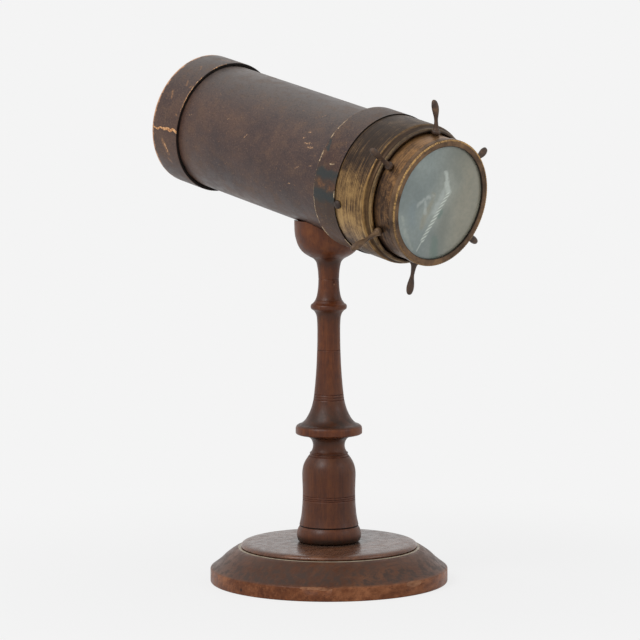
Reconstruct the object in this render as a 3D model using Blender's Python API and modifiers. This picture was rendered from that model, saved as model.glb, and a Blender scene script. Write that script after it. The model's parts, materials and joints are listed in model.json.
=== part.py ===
"""Parlour kaleidoscope: a pasteboard barrel on a turned wooden stand, with a brass
object box that turns on the barrel's front by six spokes.

Metres, +Z up. The origin is the middle of the base's underside. The barrel lies in
the plane X = 0, with its eyepiece towards +Y, and dips to the object box, which is
towards -Y. A station is a distance along the barrel from the stand's axis, positive
towards the object box. Round the barrel, an angle of zero is at its top and a
positive one turns towards -X.
"""

import math

import bmesh
import bpy
from mathutils import Matrix

COLLECTION_NAME = "kaleidoscope"
CUTTER_COLLECTION_NAME = "cutters"

# Fits
SEAT_GAP = 0.0003
CUT_OVERRUN = 0.0015
AXIS_WELD = 0.00002

# Facets round each kind of turned piece
BASE_STEPS = 48
COLUMN_STEPS = 24
BARREL_STEPS = 36
SMALL_STEPS = 16
SPOKE_STEPS = 8
ARC_STEPS = 4
CURVE_STEPS = 4
SHORT_CURVE_STEPS = 2

# Base disc and the step disc on it
BASE_RADIUS = 0.0793
BASE_THICKNESS = 0.0229
BASE_BAND_HEIGHT = 0.0092
BASE_SHOULDER_RADIUS = 0.0612
BASE_EDGE_CHAMFER = 0.0004
STEP_RADIUS = 0.0589
STEP_THICKNESS = 0.0031
STEP_ROUND = 0.0028
STEP_ROUND_DROP = 0.0019

# Lower pillar, heights from the face it stands on
FOOT_RADIUS = 0.0214
FOOT_HEIGHT = 0.0103
FOOT_WAIST_RADIUS = 0.0192
FOOT_GROOVE_RADIUS = 0.0187
FOOT_GROOVE_WIDTH = 0.0008
PILLAR_FLARE_RADIUS = 0.0198
PILLAR_WAIST_RADIUS = 0.0175
PILLAR_WAIST_HEIGHT = 0.0340
PILLAR_BELLY_RADIUS = 0.0178
PILLAR_BELLY_HEIGHT = 0.0462
PILLAR_SHOULDER_RADIUS = 0.0127
PILLAR_SHOULDER_HEIGHT = 0.0577
PILLAR_FILLET_RADIUS = 0.0123
PILLAR_FILLET_HEIGHT = 0.0012
PILLAR_COVE_RADIUS = 0.0106
PILLAR_TOP_RADIUS = 0.0128
PILLAR_HEIGHT = 0.0702
PILLAR_LINES_HEIGHT = 0.0313
FOOT_TENON_RADIUS = 0.0090
FOOT_TENON_LENGTH = 0.0140
TOP_TENON_RADIUS = 0.0060
TOP_TENON_LENGTH = 0.0130

# Upper stem, heights from its underside
FLANGE_RADIUS = 0.0222
FLANGE_UNDERCUT = 0.0024
FLANGE_LIP_RADIUS = 0.0135
FLANGE_BAND_TOP = 0.0068
FLANGE_ROUND = 0.0015
STEM_SWEEP_RADIUS = 0.0201
STEM_SWEEP_HEIGHT = 0.0085
STEM_COLLAR_RADIUS = 0.0099
STEM_COLLAR_HEIGHT = 0.0272
STEM_LINES_HEIGHT = 0.0285
STEM_RADIUS = 0.0076
STEM_THIN_HEIGHT = 0.0710
RING_RADIUS = 0.0120
RING_HEIGHT = 0.0872
RING_EDGE = 0.0018
RING_REACH = 0.0082
NECK_RADIUS = 0.0068
NECK_HEIGHT = 0.1060
NECK_FOOT_RADIUS = 0.0076
CUP_RADIUS = 0.0228
CUP_BOTTOM_HEIGHT = 0.1196
CUP_ROUND_RADIAL = 0.0146
CUP_ROUND_RISE = 0.0215
CUP_NECK_SHARE = 0.20
CUP_LAND = 0.0010
CUP_FLOOR = 0.0186

# Fine turned lines
LINE_PITCH = 0.0017
LINE_COUNT = 3
LINE_DEPTH = 0.0003
LINE_HALF_WIDTH = 0.0004

# Barrel
BARREL_DIP = math.radians(11.8)
TUBE_RADIUS = 0.0412
TUBE_WALL = 0.0030
TUBE_REAR = -0.1260
TUBE_FRONT = 0.0795
COVER_WALL = 0.0010

# Pasteboard lid at the eye end
LID_WALL = 0.0022
LID_LENGTH = 0.0254
LID_LIP_WALL = 0.0006
LID_LIP_WIDTH = 0.0022
LID_DISC_THICKNESS = 0.0024

# Eyepiece
EYEPIECE_FLANGE_RADIUS = 0.0145
EYEPIECE_FLANGE_THICKNESS = 0.0015
EYEPIECE_ROUND = 0.0008
EYEPIECE_NECK_RADIUS = 0.0110
EYEPIECE_NECK_LENGTH = 0.0085
EYEPIECE_WALL = 0.0012
EYE_HOLE_RADIUS = 0.0065
EYE_DISH_RADIUS = 0.0105
EYE_SEAT_DEPTH = 0.0031
EYE_LENS_THICKNESS = 0.0022
LENS_RING_WIDTH = 0.0015
LENS_RING_THICKNESS = 0.0014

# Pasteboard collar, packing ring and brass sleeve at the front
PACKING_WALL = 0.0021
PACKING_REAR_SETBACK = 0.0006
COLLAR_WALL = 0.0008
COLLAR_END_WALL = 0.0014
COLLAR_LENGTH = 0.0200
COLLAR_SETBACK = 0.0420
SLEEVE_WALL = 0.0011
SLEEVE_LAP = 0.0075
SLEEVE_LIP_THICKNESS = 0.0010
SLEEVE_RIDGE_STEP = 0.0008
SLEEVE_RIDGE_FALL = 0.0016
SLEEVE_RIDGE_GROOVE = 0.0009
SLEEVE_RIDGE_WIDTH = 0.0023
RIDGE_START = math.radians(25.0)

# Round-headed tacks
TACK_COUNT = 3
TACK_FIRST_ANGLE = math.radians(103.4)
TACK_PITCH = math.radians(105.0)
TACK_SETBACK = 0.0004
TACK_HEAD_RADIUS = 0.0024
TACK_HEAD_HEIGHT = 0.0016
TACK_SHANK_RADIUS = 0.0008
TACK_SHANK_LENGTH = 0.0030

# Mirrors: two plates in a V with its apex up, and a black board on the third side
MIRROR_THICKNESS = 0.0020
MIRROR_HALF_ANGLE = math.radians(15.0)
MIRROR_APEX_MARGIN = 0.0052
MIRROR_CORNER_MARGIN = 0.0024
MIRROR_APEX_START = 0.0007
MIRROR_FRONT_SETBACK = 0.0015
MIRROR_EYE_DISTANCE = 0.0087
SHADE_BOARD_THICKNESS = 0.0020
MIRROR_DISC_THICKNESS = 0.0050
MIRROR_DISC_INSET = 0.0060

# Block and screws that hold the barrel down on the cup
BLOCK_LENGTH = 0.0300
SCREW_HEAD_ROOM = 0.0014
SCREW_MIDDLE_DEPTH = 0.0100
SCREW_SPACING = 0.0160
SCREW_SHANK_RADIUS = 0.0016
SCREW_LENGTH = 0.0210
SCREW_POINT = 0.0030
SCREW_POINT_RADIUS = 0.0003
SCREW_HEAD_RADIUS = 0.0030
SCREW_HEAD_HEIGHT = 0.0016

# Object box
WHEEL_REST_ANGLE = math.radians(-1.2)
DRUM_FLANGE_WIDTH = 0.0039
DRUM_LENGTH = 0.0271
DRUM_LIP_GAP = 0.0014
DRUM_WALL = 0.0014
DRUM_FLANGE_THICKNESS = 0.0016
DRUM_REAR_LIP_WIDTH = 0.0016
DRUM_REAR_LIP_THICKNESS = 0.0012
DRUM_END_GAP = 0.0007
DRUM_REBATE = 0.0005
BEZEL_PROUD = 0.0007
BEZEL_LAP = 0.0016
BEZEL_LIP_THICKNESS = 0.0014
BEZEL_SKIRT_LENGTH = 0.0045
BEZEL_ROUND = 0.0009
GLASS_THICKNESS = 0.0020
SPACER_WALL = 0.0013

# Spokes
SPOKE_COUNT = 6
SPOKE_SLEEVE_GAP = 0.0007
SPOKE_SHANK_RADIUS = 0.0011
SPOKE_BOSS_RADIUS = 0.0028
SPOKE_BOSS_HEIGHT = 0.0034
SPOKE_BOSS_TOP_RADIUS = 0.0019
SPOKE_NECK_RADIUS = 0.00125
SPOKE_NECK_REACH = 0.0102
SPOKE_GRIP_RADIUS = 0.0024
SPOKE_GRIP_REACH = 0.0180
SPOKE_REACH = 0.0234

# Loose pieces in the object box
TWIST_ROD_FOOT_ANGLE = math.radians(153.0)
TWIST_ROD_LEAN = math.radians(4.0)
AMPOULE_ANGLES = (math.radians(188.0), math.radians(176.0), math.radians(184.0))
BEAD_SIDES = (1, -1, 1)
# Layers of the chamber's depth, rear to front: one for each ampoule and its bead, and
# the last for the twisted rod. Lengths are shares of the chamber's bore.
LAYER_SHARES = (0.250, 0.315, 0.215)
TWIST_ROD_LAYER_SHARE = 0.190
AMPOULE_LENGTH_SHARES = (0.34, 0.44, 0.29)
TWIST_ROD_LENGTH_SHARE = 0.715
BEAD_RADIUS_SHARE = 0.95
END_ROUND_STEPS = 2

# Handles of the free curves in the turned profiles. Each row gives, as shares of the
# curve's own width and height: start handle across, start handle down, end handle
# across, end handle down.
BASE_SLOPE_SHARES = (0.33, 0.17, 0.32, 0.24)
FOOT_FLARE_SHARES = (0.00, 0.44, 0.36, 0.19)
BELLY_SHARES = (0.00, 0.50, 0.00, 0.50)
COVE_TOP_SHARES = (0.60, 0.16, 0.00, 0.45)
COVE_BOTTOM_SHARES = (0.00, 0.45, 0.60, 0.16)
STEM_SWEEP_SHARES = (0.07, 0.38, 0.60, 0.17)
STEM_TAPER_SHARES = (0.00, 0.40, 0.25, 0.30)
RING_TOP_SHARES = (0.02, 0.42, 0.32, 0.21)
RING_BOTTOM_SHARES = (0.32, 0.21, 0.02, 0.42)
NECK_SHARES = (0.00, 0.40, 0.20, 0.30)
CUP_NECK_SHARES = (0.55, 0.08, 0.00, 0.50)
SPOKE_NECK_SHARES = (0.00, 0.40, 0.00, 0.45)
SPOKE_GRIP_SHARES = (0.00, 0.50, 0.00, 0.45)

# Worked out from the sizes above
HALF = 0.5
TUBE_BORE = TUBE_RADIUS - TUBE_WALL
COVER_BORE = TUBE_RADIUS + SEAT_GAP
COVER_RADIUS = COVER_BORE + COVER_WALL
OVER_COVER = COVER_RADIUS + SEAT_GAP
LID_RADIUS = OVER_COVER + LID_WALL
LID_DISC_FRONT = TUBE_REAR - SEAT_GAP
LID_DISC_REAR = LID_DISC_FRONT - LID_DISC_THICKNESS
LID_REAR = LID_DISC_REAR - SEAT_GAP - LID_LIP_WALL
LID_FRONT = LID_REAR + LID_LENGTH
EYEPIECE_SEAT = LID_DISC_REAR - SEAT_GAP
EYEPIECE_FRONT = EYEPIECE_SEAT + EYEPIECE_NECK_LENGTH
MIRROR_REAR = EYEPIECE_FRONT + MIRROR_EYE_DISTANCE
MIRROR_FRONT = TUBE_FRONT - MIRROR_FRONT_SETBACK
PACKING_RADIUS = OVER_COVER + PACKING_WALL
SLEEVE_BORE = PACKING_RADIUS + SEAT_GAP
SLEEVE_RADIUS = SLEEVE_BORE + SLEEVE_WALL
COLLAR_BORE = SLEEVE_RADIUS + SEAT_GAP
COLLAR_RADIUS = COLLAR_BORE + COLLAR_WALL
COLLAR_REAR = TUBE_FRONT - COLLAR_SETBACK
COLLAR_FRONT = COLLAR_REAR + COLLAR_LENGTH
SLEEVE_REAR = COLLAR_FRONT - SLEEVE_LAP
DRUM_REAR = TUBE_FRONT + DRUM_END_GAP
DRUM_FLANGE_RADIUS = SLEEVE_BORE - SEAT_GAP
DRUM_FLANGE_FRONT = DRUM_REAR + DRUM_FLANGE_THICKNESS
DRUM_RADIUS = DRUM_FLANGE_RADIUS - DRUM_FLANGE_WIDTH
DRUM_BORE = DRUM_RADIUS - DRUM_WALL
SLEEVE_LIP_REAR = DRUM_FLANGE_FRONT + DRUM_END_GAP
SLEEVE_SHOULDER = SLEEVE_LIP_REAR + SLEEVE_LIP_THICKNESS
SLEEVE_FRONT = SLEEVE_SHOULDER + SLEEVE_RIDGE_GROOVE + SLEEVE_RIDGE_WIDTH * 2
SLEEVE_LIP_RADIUS = DRUM_RADIUS + DRUM_LIP_GAP
TACK_STATION = COLLAR_FRONT + TACK_SETBACK + TACK_HEAD_RADIUS
SPOKE_STATION = SLEEVE_FRONT + SPOKE_SLEEVE_GAP + SPOKE_BOSS_RADIUS
BEZEL_FRONT = DRUM_REAR + DRUM_LENGTH
BEZEL_RADIUS = DRUM_RADIUS + BEZEL_PROUD
CELL_RADIUS = DRUM_BORE - SEAT_GAP
WINDOW_RADIUS = CELL_RADIUS - BEZEL_LAP
REAR_GLASS_REAR = DRUM_REAR + DRUM_REAR_LIP_THICKNESS + SEAT_GAP
REAR_GLASS_FRONT = REAR_GLASS_REAR + GLASS_THICKNESS
FRONT_GLASS_FRONT = BEZEL_FRONT - BEZEL_LIP_THICKNESS - SEAT_GAP
FRONT_GLASS_REAR = FRONT_GLASS_FRONT - GLASS_THICKNESS
SPACER_REAR = REAR_GLASS_FRONT + SEAT_GAP
SPACER_FRONT = FRONT_GLASS_REAR - SEAT_GAP
SPACER_BORE = CELL_RADIUS - SPACER_WALL
CHAMBER_DEPTH = FRONT_GLASS_REAR - REAR_GLASS_FRONT
STEP_UNDERSIDE = BASE_THICKNESS + SEAT_GAP
STEP_TOP = STEP_UNDERSIDE + STEP_THICKNESS
PILLAR_FOOT = STEP_TOP + SEAT_GAP
STEM_FOOT = PILLAR_FOOT + PILLAR_HEIGHT + SEAT_GAP
CUP_BOTTOM = STEM_FOOT + CUP_BOTTOM_HEIGHT
BARREL_AXIS_HEIGHT = CUP_BOTTOM + CUP_FLOOR + OVER_COVER / math.cos(BARREL_DIP)
SCREW_MIDDLE_STATION = (OVER_COVER + SCREW_MIDDLE_DEPTH) * math.tan(BARREL_DIP)
FOOT_SOCKET_RADIUS = FOOT_TENON_RADIUS + SEAT_GAP
TOP_SOCKET_RADIUS = TOP_TENON_RADIUS + SEAT_GAP


# Collections, materials and parents

def start_scene():
    for item in list(bpy.data.objects):
        bpy.data.objects.remove(item, do_unlink=True)
    for name in (COLLECTION_NAME, CUTTER_COLLECTION_NAME):
        old = bpy.data.collections.get(name)
        if old:
            bpy.data.collections.remove(old)
        bpy.context.scene.collection.children.link(bpy.data.collections.new(name))


def make_material(name, color, roughness, metallic=0.0, transmission=0.0):
    material = bpy.data.materials.new(name)
    material.use_nodes = True
    shader = material.node_tree.nodes["Principled BSDF"]
    shader.inputs["Base Color"].default_value = (*color, 1.0)
    shader.inputs["Roughness"].default_value = roughness
    shader.inputs["Metallic"].default_value = metallic
    shader.inputs["Transmission Weight"].default_value = transmission
    material.diffuse_color = (*color, 1.0)
    return material


def make_palette():
    return {
        "walnut": make_material("walnut", (0.15, 0.055, 0.032), 0.42),
        "block_wood": make_material("block_wood", (0.42, 0.28, 0.16), 0.70),
        "pasteboard": make_material("pasteboard", (0.46, 0.36, 0.25), 0.85),
        "leatherette": make_material("leatherette", (0.095, 0.072, 0.064), 0.55),
        "lid_paper": make_material("lid_paper", (0.12, 0.09, 0.075), 0.60),
        "collar_paper": make_material("collar_paper", (0.085, 0.085, 0.085), 0.55),
        "black_card": make_material("black_card", (0.02, 0.02, 0.02), 0.90),
        "aged_brass": make_material("aged_brass", (0.33, 0.21, 0.10), 0.38, metallic=0.9),
        "dark_bronze": make_material("dark_bronze", (0.11, 0.065, 0.045), 0.50, metallic=0.7),
        "steel": make_material("steel", (0.40, 0.38, 0.36), 0.35, metallic=1.0),
        "mirror_glass": make_material("mirror_glass", (0.80, 0.82, 0.84), 0.05, metallic=1.0),
        "clear_glass": make_material("clear_glass", (0.85, 0.90, 0.88), 0.05, transmission=0.9),
        "ground_glass": make_material("ground_glass", (0.48, 0.54, 0.51), 0.45, transmission=0.4),
        "white_glass": make_material("white_glass", (0.82, 0.84, 0.82), 0.15),
        "amber_glass": make_material("amber_glass", (0.70, 0.38, 0.08), 0.10),
        "blue_glass": make_material("blue_glass", (0.12, 0.26, 0.60), 0.10),
        "red_glass": make_material("red_glass", (0.60, 0.06, 0.05), 0.10),
    }


def make_pivot(name, location, rotation=(0.0, 0.0, 0.0), parent=None):
    pivot = bpy.data.objects.new(name, None)
    pivot.location = location
    pivot.rotation_euler = rotation
    pivot.parent = parent
    bpy.data.collections[COLLECTION_NAME].objects.link(pivot)
    bpy.context.view_layer.update()
    return pivot


def place(item, parent=None, local=None):
    """Gives an object its parent and its place under that parent."""
    item.parent = parent
    item.matrix_local = local or Matrix.Identity(4)


def round_barrel(angle, station, reach=0.0):
    """Place on the barrel: +Z points outwards at the angle, +Y back to the eye end."""
    turn = Matrix.Rotation(angle, 4, "Z")
    along = Matrix.Translation((0.0, 0.0, station))
    outwards = Matrix.Rotation(-math.pi / 2, 4, "X")
    return turn @ along @ outwards @ Matrix.Translation((0.0, 0.0, reach))


# Profiles, as (radius, height) points

def arc(center, semi_radius, semi_height, start, end, steps=ARC_STEPS):
    """Points of an elliptical arc, with angles from the outward direction."""
    points = []
    for index in range(steps + 1):
        angle = start + (end - start) * index / steps
        points.append((center[0] + semi_radius * math.cos(angle),
                       center[1] + semi_height * math.sin(angle)))
    return points


def sweep(start, end, shares, steps=CURVE_STEPS):
    """Points of a free curve that leaves and arrives as its handle shares say."""
    across = end[0] - start[0]
    down = end[1] - start[1]
    first = (start[0] + across * shares[0], start[1] + down * shares[1])
    second = (end[0] - across * shares[2], end[1] - down * shares[3])
    points = []
    for index in range(steps + 1):
        t = index / steps
        weights = ((1 - t) ** 3, 3 * t * (1 - t) ** 2, 3 * t * t * (1 - t), t ** 3)
        points.append(tuple(sum(weight * point[axis] for weight, point
                                in zip(weights, (start, first, second, end)))
                            for axis in (0, 1)))
    return points


def joined(*runs):
    """One outline from several runs, without the points that they share."""
    points = []
    for run in runs:
        for point in run:
            if not points or math.dist(point, points[-1]) > AXIS_WELD:
                points.append(point)
    return points


def radius_at(points, height):
    """Radius of a profile that runs downwards, at a height."""
    for upper, lower in zip(points, points[1:]):
        if upper[1] >= height > lower[1]:
            share = (upper[1] - height) / (upper[1] - lower[1])
            return upper[0] + (lower[0] - upper[0]) * share
    return points[-1][0]


def scored(points, top_height):
    """Cuts fine turned lines into a profile that runs downwards."""
    for index in range(LINE_COUNT):
        height = top_height - index * LINE_PITCH
        upper = height + LINE_HALF_WIDTH
        lower = height - LINE_HALF_WIDTH
        line = [(radius_at(points, upper), upper),
                (radius_at(points, height) - LINE_DEPTH, height),
                (radius_at(points, lower), lower)]
        points = ([point for point in points if point[1] > upper] + line
                  + [point for point in points if point[1] < lower])
    return points


def ring_profile(outer, inner, top, bottom):
    return [(outer, top), (outer, bottom), (inner, bottom), (inner, top)]


def disc_profile(radius, top, bottom):
    return [(0.0, top), (radius, top), (radius, bottom), (0.0, bottom)]


# Builders

def turned(name, points, steps, material, closed=False, cutter=False):
    """A turned piece from a profile that runs down its outer side."""
    mesh = bpy.data.meshes.new(name)
    edges = [(index, index + 1) for index in range(len(points) - 1)]
    if closed:
        edges.append((len(points) - 1, 0))
    mesh.from_pydata([(radius, 0.0, height) for radius, height in points], edges, [])
    item = bpy.data.objects.new(name, mesh)
    owner = CUTTER_COLLECTION_NAME if cutter else COLLECTION_NAME
    bpy.data.collections[owner].objects.link(item)
    screw = item.modifiers.new("turn", "SCREW")
    screw.axis = "Z"
    screw.steps = steps
    screw.render_steps = steps
    screw.use_merge_vertices = True
    screw.merge_threshold = AXIS_WELD
    screw.use_smooth_shade = True
    if cutter:
        item.hide_render = True
        item.display_type = "WIRE"
    else:
        mesh.materials.append(material)
    return item


def box(name, size, material, cutter=False):
    """A box centred on its own origin."""
    mesh = bpy.data.meshes.new(name)
    work = bmesh.new()
    bmesh.ops.create_cube(work, size=1.0, matrix=Matrix.Diagonal((*size, 1.0)))
    work.to_mesh(mesh)
    work.free()
    item = bpy.data.objects.new(name, mesh)
    owner = CUTTER_COLLECTION_NAME if cutter else COLLECTION_NAME
    bpy.data.collections[owner].objects.link(item)
    if cutter:
        item.hide_render = True
        item.display_type = "WIRE"
    else:
        mesh.materials.append(material)
    return item


def flat_cutter(name, outline, thickness):
    """A cutter from a flat outline in X and Y, half its thickness to each side."""
    curve = bpy.data.curves.new(name, "CURVE")
    curve.dimensions = "2D"
    curve.fill_mode = "BOTH"
    curve.extrude = thickness * HALF
    spline = curve.splines.new("POLY")
    spline.points.add(len(outline) - 1)
    for point, (across, up) in zip(spline.points, outline):
        point.co = (across, up, 0.0, 1.0)
    spline.use_cyclic_u = True
    drawn = bpy.data.objects.new(name, curve)
    cutters = bpy.data.collections[CUTTER_COLLECTION_NAME]
    cutters.objects.link(drawn)
    bpy.context.view_layer.update()
    graph = bpy.context.evaluated_depsgraph_get()
    mesh = bpy.data.meshes.new_from_object(drawn.evaluated_get(graph))
    work = bmesh.new()
    work.from_mesh(mesh)
    bmesh.ops.remove_doubles(work, verts=work.verts, dist=AXIS_WELD)
    work.to_mesh(mesh)
    work.free()
    bpy.data.objects.remove(drawn, do_unlink=True)
    item = bpy.data.objects.new(name, mesh)
    cutters.objects.link(item)
    item.hide_render = True
    item.display_type = "WIRE"
    return item


def cut(item, cutter):
    boolean = item.modifiers.new("cut", "BOOLEAN")
    boolean.operation = "DIFFERENCE"
    boolean.solver = "EXACT"
    boolean.object = cutter


def pin_cutter(name, radius, top, bottom, parent, local):
    """A round cutter along +Z of its place, from top down to bottom."""
    item = turned(name, disc_profile(radius, top, bottom), SPOKE_STEPS, None, cutter=True)
    place(item, parent, local)
    return item


# Stand

def build_base_disc(palette):
    band_top = (BASE_RADIUS, BASE_BAND_HEIGHT)
    shoulder = (BASE_SHOULDER_RADIUS, BASE_THICKNESS)
    slope = sweep(shoulder, band_top, BASE_SLOPE_SHARES)
    socket_floor = PILLAR_FOOT - FOOT_TENON_LENGTH - SEAT_GAP
    points = joined(
        [(0.0, socket_floor), (FOOT_SOCKET_RADIUS, socket_floor)],
        [(FOOT_SOCKET_RADIUS, BASE_THICKNESS)],
        slope,
        [(BASE_RADIUS, BASE_EDGE_CHAMFER), (BASE_RADIUS - BASE_EDGE_CHAMFER, 0.0)],
        [(0.0, 0.0)],
    )
    place(turned("base_disc", points, BASE_STEPS, palette["walnut"]))


def build_step_disc(palette):
    rounded = arc((STEP_RADIUS - STEP_ROUND, STEP_TOP - STEP_ROUND_DROP),
                  STEP_ROUND, STEP_ROUND_DROP, math.pi / 2, 0.0)
    points = joined(
        [(FOOT_SOCKET_RADIUS, STEP_TOP)],
        rounded,
        [(STEP_RADIUS - STEP_ROUND * HALF, STEP_UNDERSIDE)],
        [(FOOT_SOCKET_RADIUS, STEP_UNDERSIDE)],
    )
    place(turned("base_step_disc", points, BASE_STEPS, palette["walnut"], closed=True))


def pillar_outline():
    """Outer side of the lower pillar, from its top down, above the step disc."""
    shoulder_height = PILLAR_SHOULDER_HEIGHT - PILLAR_BELLY_HEIGHT
    fillet_top = PILLAR_SHOULDER_HEIGHT + PILLAR_FILLET_HEIGHT
    cove_middle = (PILLAR_COVE_RADIUS, (PILLAR_HEIGHT + fillet_top) * HALF)
    groove_top = FOOT_HEIGHT + FOOT_GROOVE_WIDTH
    foot_middle = FOOT_HEIGHT * HALF
    upper = joined(
        sweep((PILLAR_TOP_RADIUS, PILLAR_HEIGHT), cove_middle, COVE_TOP_SHARES),
        sweep(cove_middle, (PILLAR_FILLET_RADIUS, fillet_top), COVE_BOTTOM_SHARES),
        [(PILLAR_SHOULDER_RADIUS, fillet_top)],
        arc((PILLAR_SHOULDER_RADIUS, PILLAR_BELLY_HEIGHT),
            PILLAR_BELLY_RADIUS - PILLAR_SHOULDER_RADIUS, shoulder_height, math.pi / 2, 0.0),
        sweep((PILLAR_BELLY_RADIUS, PILLAR_BELLY_HEIGHT),
              (PILLAR_WAIST_RADIUS, PILLAR_WAIST_HEIGHT), BELLY_SHARES, SHORT_CURVE_STEPS),
        sweep((PILLAR_WAIST_RADIUS, PILLAR_WAIST_HEIGHT),
              (PILLAR_FLARE_RADIUS, groove_top), FOOT_FLARE_SHARES),
    )
    upper = scored(upper, PILLAR_LINES_HEIGHT)
    foot = arc((FOOT_WAIST_RADIUS, foot_middle), FOOT_RADIUS - FOOT_WAIST_RADIUS,
               foot_middle, math.pi / 2, -math.pi / 2)
    return joined(upper, [(FOOT_GROOVE_RADIUS, groove_top - FOOT_GROOVE_WIDTH * HALF)], foot)


def build_lower_pillar(palette):
    outline = [(radius, height + PILLAR_FOOT) for radius, height in pillar_outline()]
    top = PILLAR_FOOT + PILLAR_HEIGHT
    points = joined(
        [(0.0, top + TOP_TENON_LENGTH), (TOP_TENON_RADIUS, top + TOP_TENON_LENGTH)],
        [(TOP_TENON_RADIUS, top)],
        outline,
        [(FOOT_TENON_RADIUS, PILLAR_FOOT), (FOOT_TENON_RADIUS, PILLAR_FOOT - FOOT_TENON_LENGTH)],
        [(0.0, PILLAR_FOOT - FOOT_TENON_LENGTH)],
    )
    place(turned("lower_pillar", points, COLUMN_STEPS, palette["walnut"]))


def cup_top():
    """Height where the cup's side is one land outside the barrel that it holds."""
    half_width = CUP_RADIUS - CUP_LAND
    depth = math.sqrt(OVER_COVER ** 2 - half_width ** 2)
    return BARREL_AXIS_HEIGHT - depth / math.cos(BARREL_DIP)


def stem_outline():
    """Outer side of the upper stem below the cup's straight wall, from the top down."""
    round_middle = (CUP_RADIUS - CUP_ROUND_RADIAL, CUP_BOTTOM_HEIGHT + CUP_ROUND_RISE)
    bowl = arc(round_middle, CUP_ROUND_RADIAL, CUP_ROUND_RISE,
               0.0, -math.acos(CUP_NECK_SHARE), CURVE_STEPS)
    neck = (NECK_RADIUS, NECK_HEIGHT)
    ring_top = (RING_RADIUS, RING_HEIGHT + RING_EDGE * HALF)
    ring_bottom = (RING_RADIUS, RING_HEIGHT - RING_EDGE * HALF)
    above_ring = (NECK_FOOT_RADIUS, RING_HEIGHT + RING_REACH)
    below_ring = (NECK_FOOT_RADIUS, RING_HEIGHT - RING_REACH)
    thin = (STEM_RADIUS, STEM_THIN_HEIGHT)
    collar = (STEM_COLLAR_RADIUS, STEM_COLLAR_HEIGHT)
    shaft = joined(
        sweep(bowl[-1], neck, CUP_NECK_SHARES),
        sweep(neck, above_ring, NECK_SHARES, SHORT_CURVE_STEPS),
        sweep(above_ring, ring_top, RING_TOP_SHARES, ARC_STEPS),
        sweep(ring_bottom, below_ring, RING_BOTTOM_SHARES, ARC_STEPS),
        [thin],
        sweep(thin, collar, STEM_TAPER_SHARES, ARC_STEPS),
        sweep(collar, (STEM_SWEEP_RADIUS, STEM_SWEEP_HEIGHT), STEM_SWEEP_SHARES),
    )
    shaft = scored(shaft, STEM_LINES_HEIGHT)
    flange = joined(
        arc((FLANGE_RADIUS - FLANGE_ROUND, FLANGE_BAND_TOP), FLANGE_ROUND, FLANGE_ROUND,
            math.pi / 2, 0.0, SHORT_CURVE_STEPS),
        [(FLANGE_RADIUS, FLANGE_UNDERCUT)],
        [(FLANGE_LIP_RADIUS, 0.0)],
    )
    return joined(bowl, shaft, flange)


def build_upper_stem(palette, barrel):
    outline = [(radius, height + STEM_FOOT) for radius, height in stem_outline()]
    socket_roof = STEM_FOOT + TOP_TENON_LENGTH
    points = joined(
        [(0.0, cup_top()), (CUP_RADIUS, cup_top())],
        outline,
        [(TOP_SOCKET_RADIUS, STEM_FOOT), (TOP_SOCKET_RADIUS, socket_roof), (0.0, socket_roof)],
    )
    stem = turned("upper_stem", points, COLUMN_STEPS, palette["walnut"])
    place(stem)
    saddle = turned("saddle_cutter", disc_profile(OVER_COVER, CUP_RADIUS + OVER_COVER,
                                                  -CUP_RADIUS - OVER_COVER),
                    BARREL_STEPS, None, cutter=True)
    place(saddle, barrel)
    cut(stem, saddle)
    for side in (-1, 1):
        hole = turned(f"screw_hole_cutter_{'rear' if side < 0 else 'front'}",
                      screw_profile(SEAT_GAP), SMALL_STEPS, None, cutter=True)
        place(hole, barrel, screw_place(side))
        cut(stem, hole)


# Fixing of the barrel on the cup

def screw_place(side):
    station = SCREW_MIDDLE_STATION + side * SCREW_SPACING * HALF
    return round_barrel(math.pi, station, -BLOCK_TOP)


def screw_profile(growth=0.0):
    """A screw along +Z of its place, head at the block and point in the cup."""
    shank = SCREW_SHANK_RADIUS + growth
    point = SCREW_POINT_RADIUS + growth
    tip = SCREW_LENGTH + growth
    head_seat = -SEAT_GAP
    head_top = head_seat - SCREW_HEAD_HEIGHT
    head = SCREW_HEAD_RADIUS + growth
    if growth:
        return [(0.0, tip), (point, tip), (shank, SCREW_LENGTH - SCREW_POINT),
                (shank, head_top - CUT_OVERRUN), (0.0, head_top - CUT_OVERRUN)]
    return [(0.0, tip), (point, tip), (shank, SCREW_LENGTH - SCREW_POINT), (shank, head_seat),
            (head, head_seat), (head, head_top), (0.0, head_top)]


def build_saddle_fixing(palette, barrel):
    block = turned("saddle_block",
                   disc_profile(TUBE_BORE - SEAT_GAP, SCREW_MIDDLE_STATION + BLOCK_LENGTH * HALF,
                                SCREW_MIDDLE_STATION - BLOCK_LENGTH * HALF),
                   BARREL_STEPS, palette["block_wood"])
    place(block, barrel)
    waste_height = TUBE_BORE - BLOCK_TOP + CUT_OVERRUN
    waste = box("block_waste_cutter",
                (TUBE_RADIUS * 2, waste_height, BLOCK_LENGTH + CUT_OVERRUN * 2), None, cutter=True)
    place(waste, barrel, Matrix.Translation(
        (0.0, waste_height * HALF + BLOCK_TOP, SCREW_MIDDLE_STATION)))
    cut(block, waste)
    for side, end in ((-1, "rear"), (1, "front")):
        cut(block, bpy.data.objects[f"screw_hole_cutter_{end}"])
        screw = turned(f"saddle_screw_{end}", screw_profile(), SPOKE_STEPS, palette["steel"])
        place(screw, barrel, screw_place(side))


# Barrel

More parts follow.
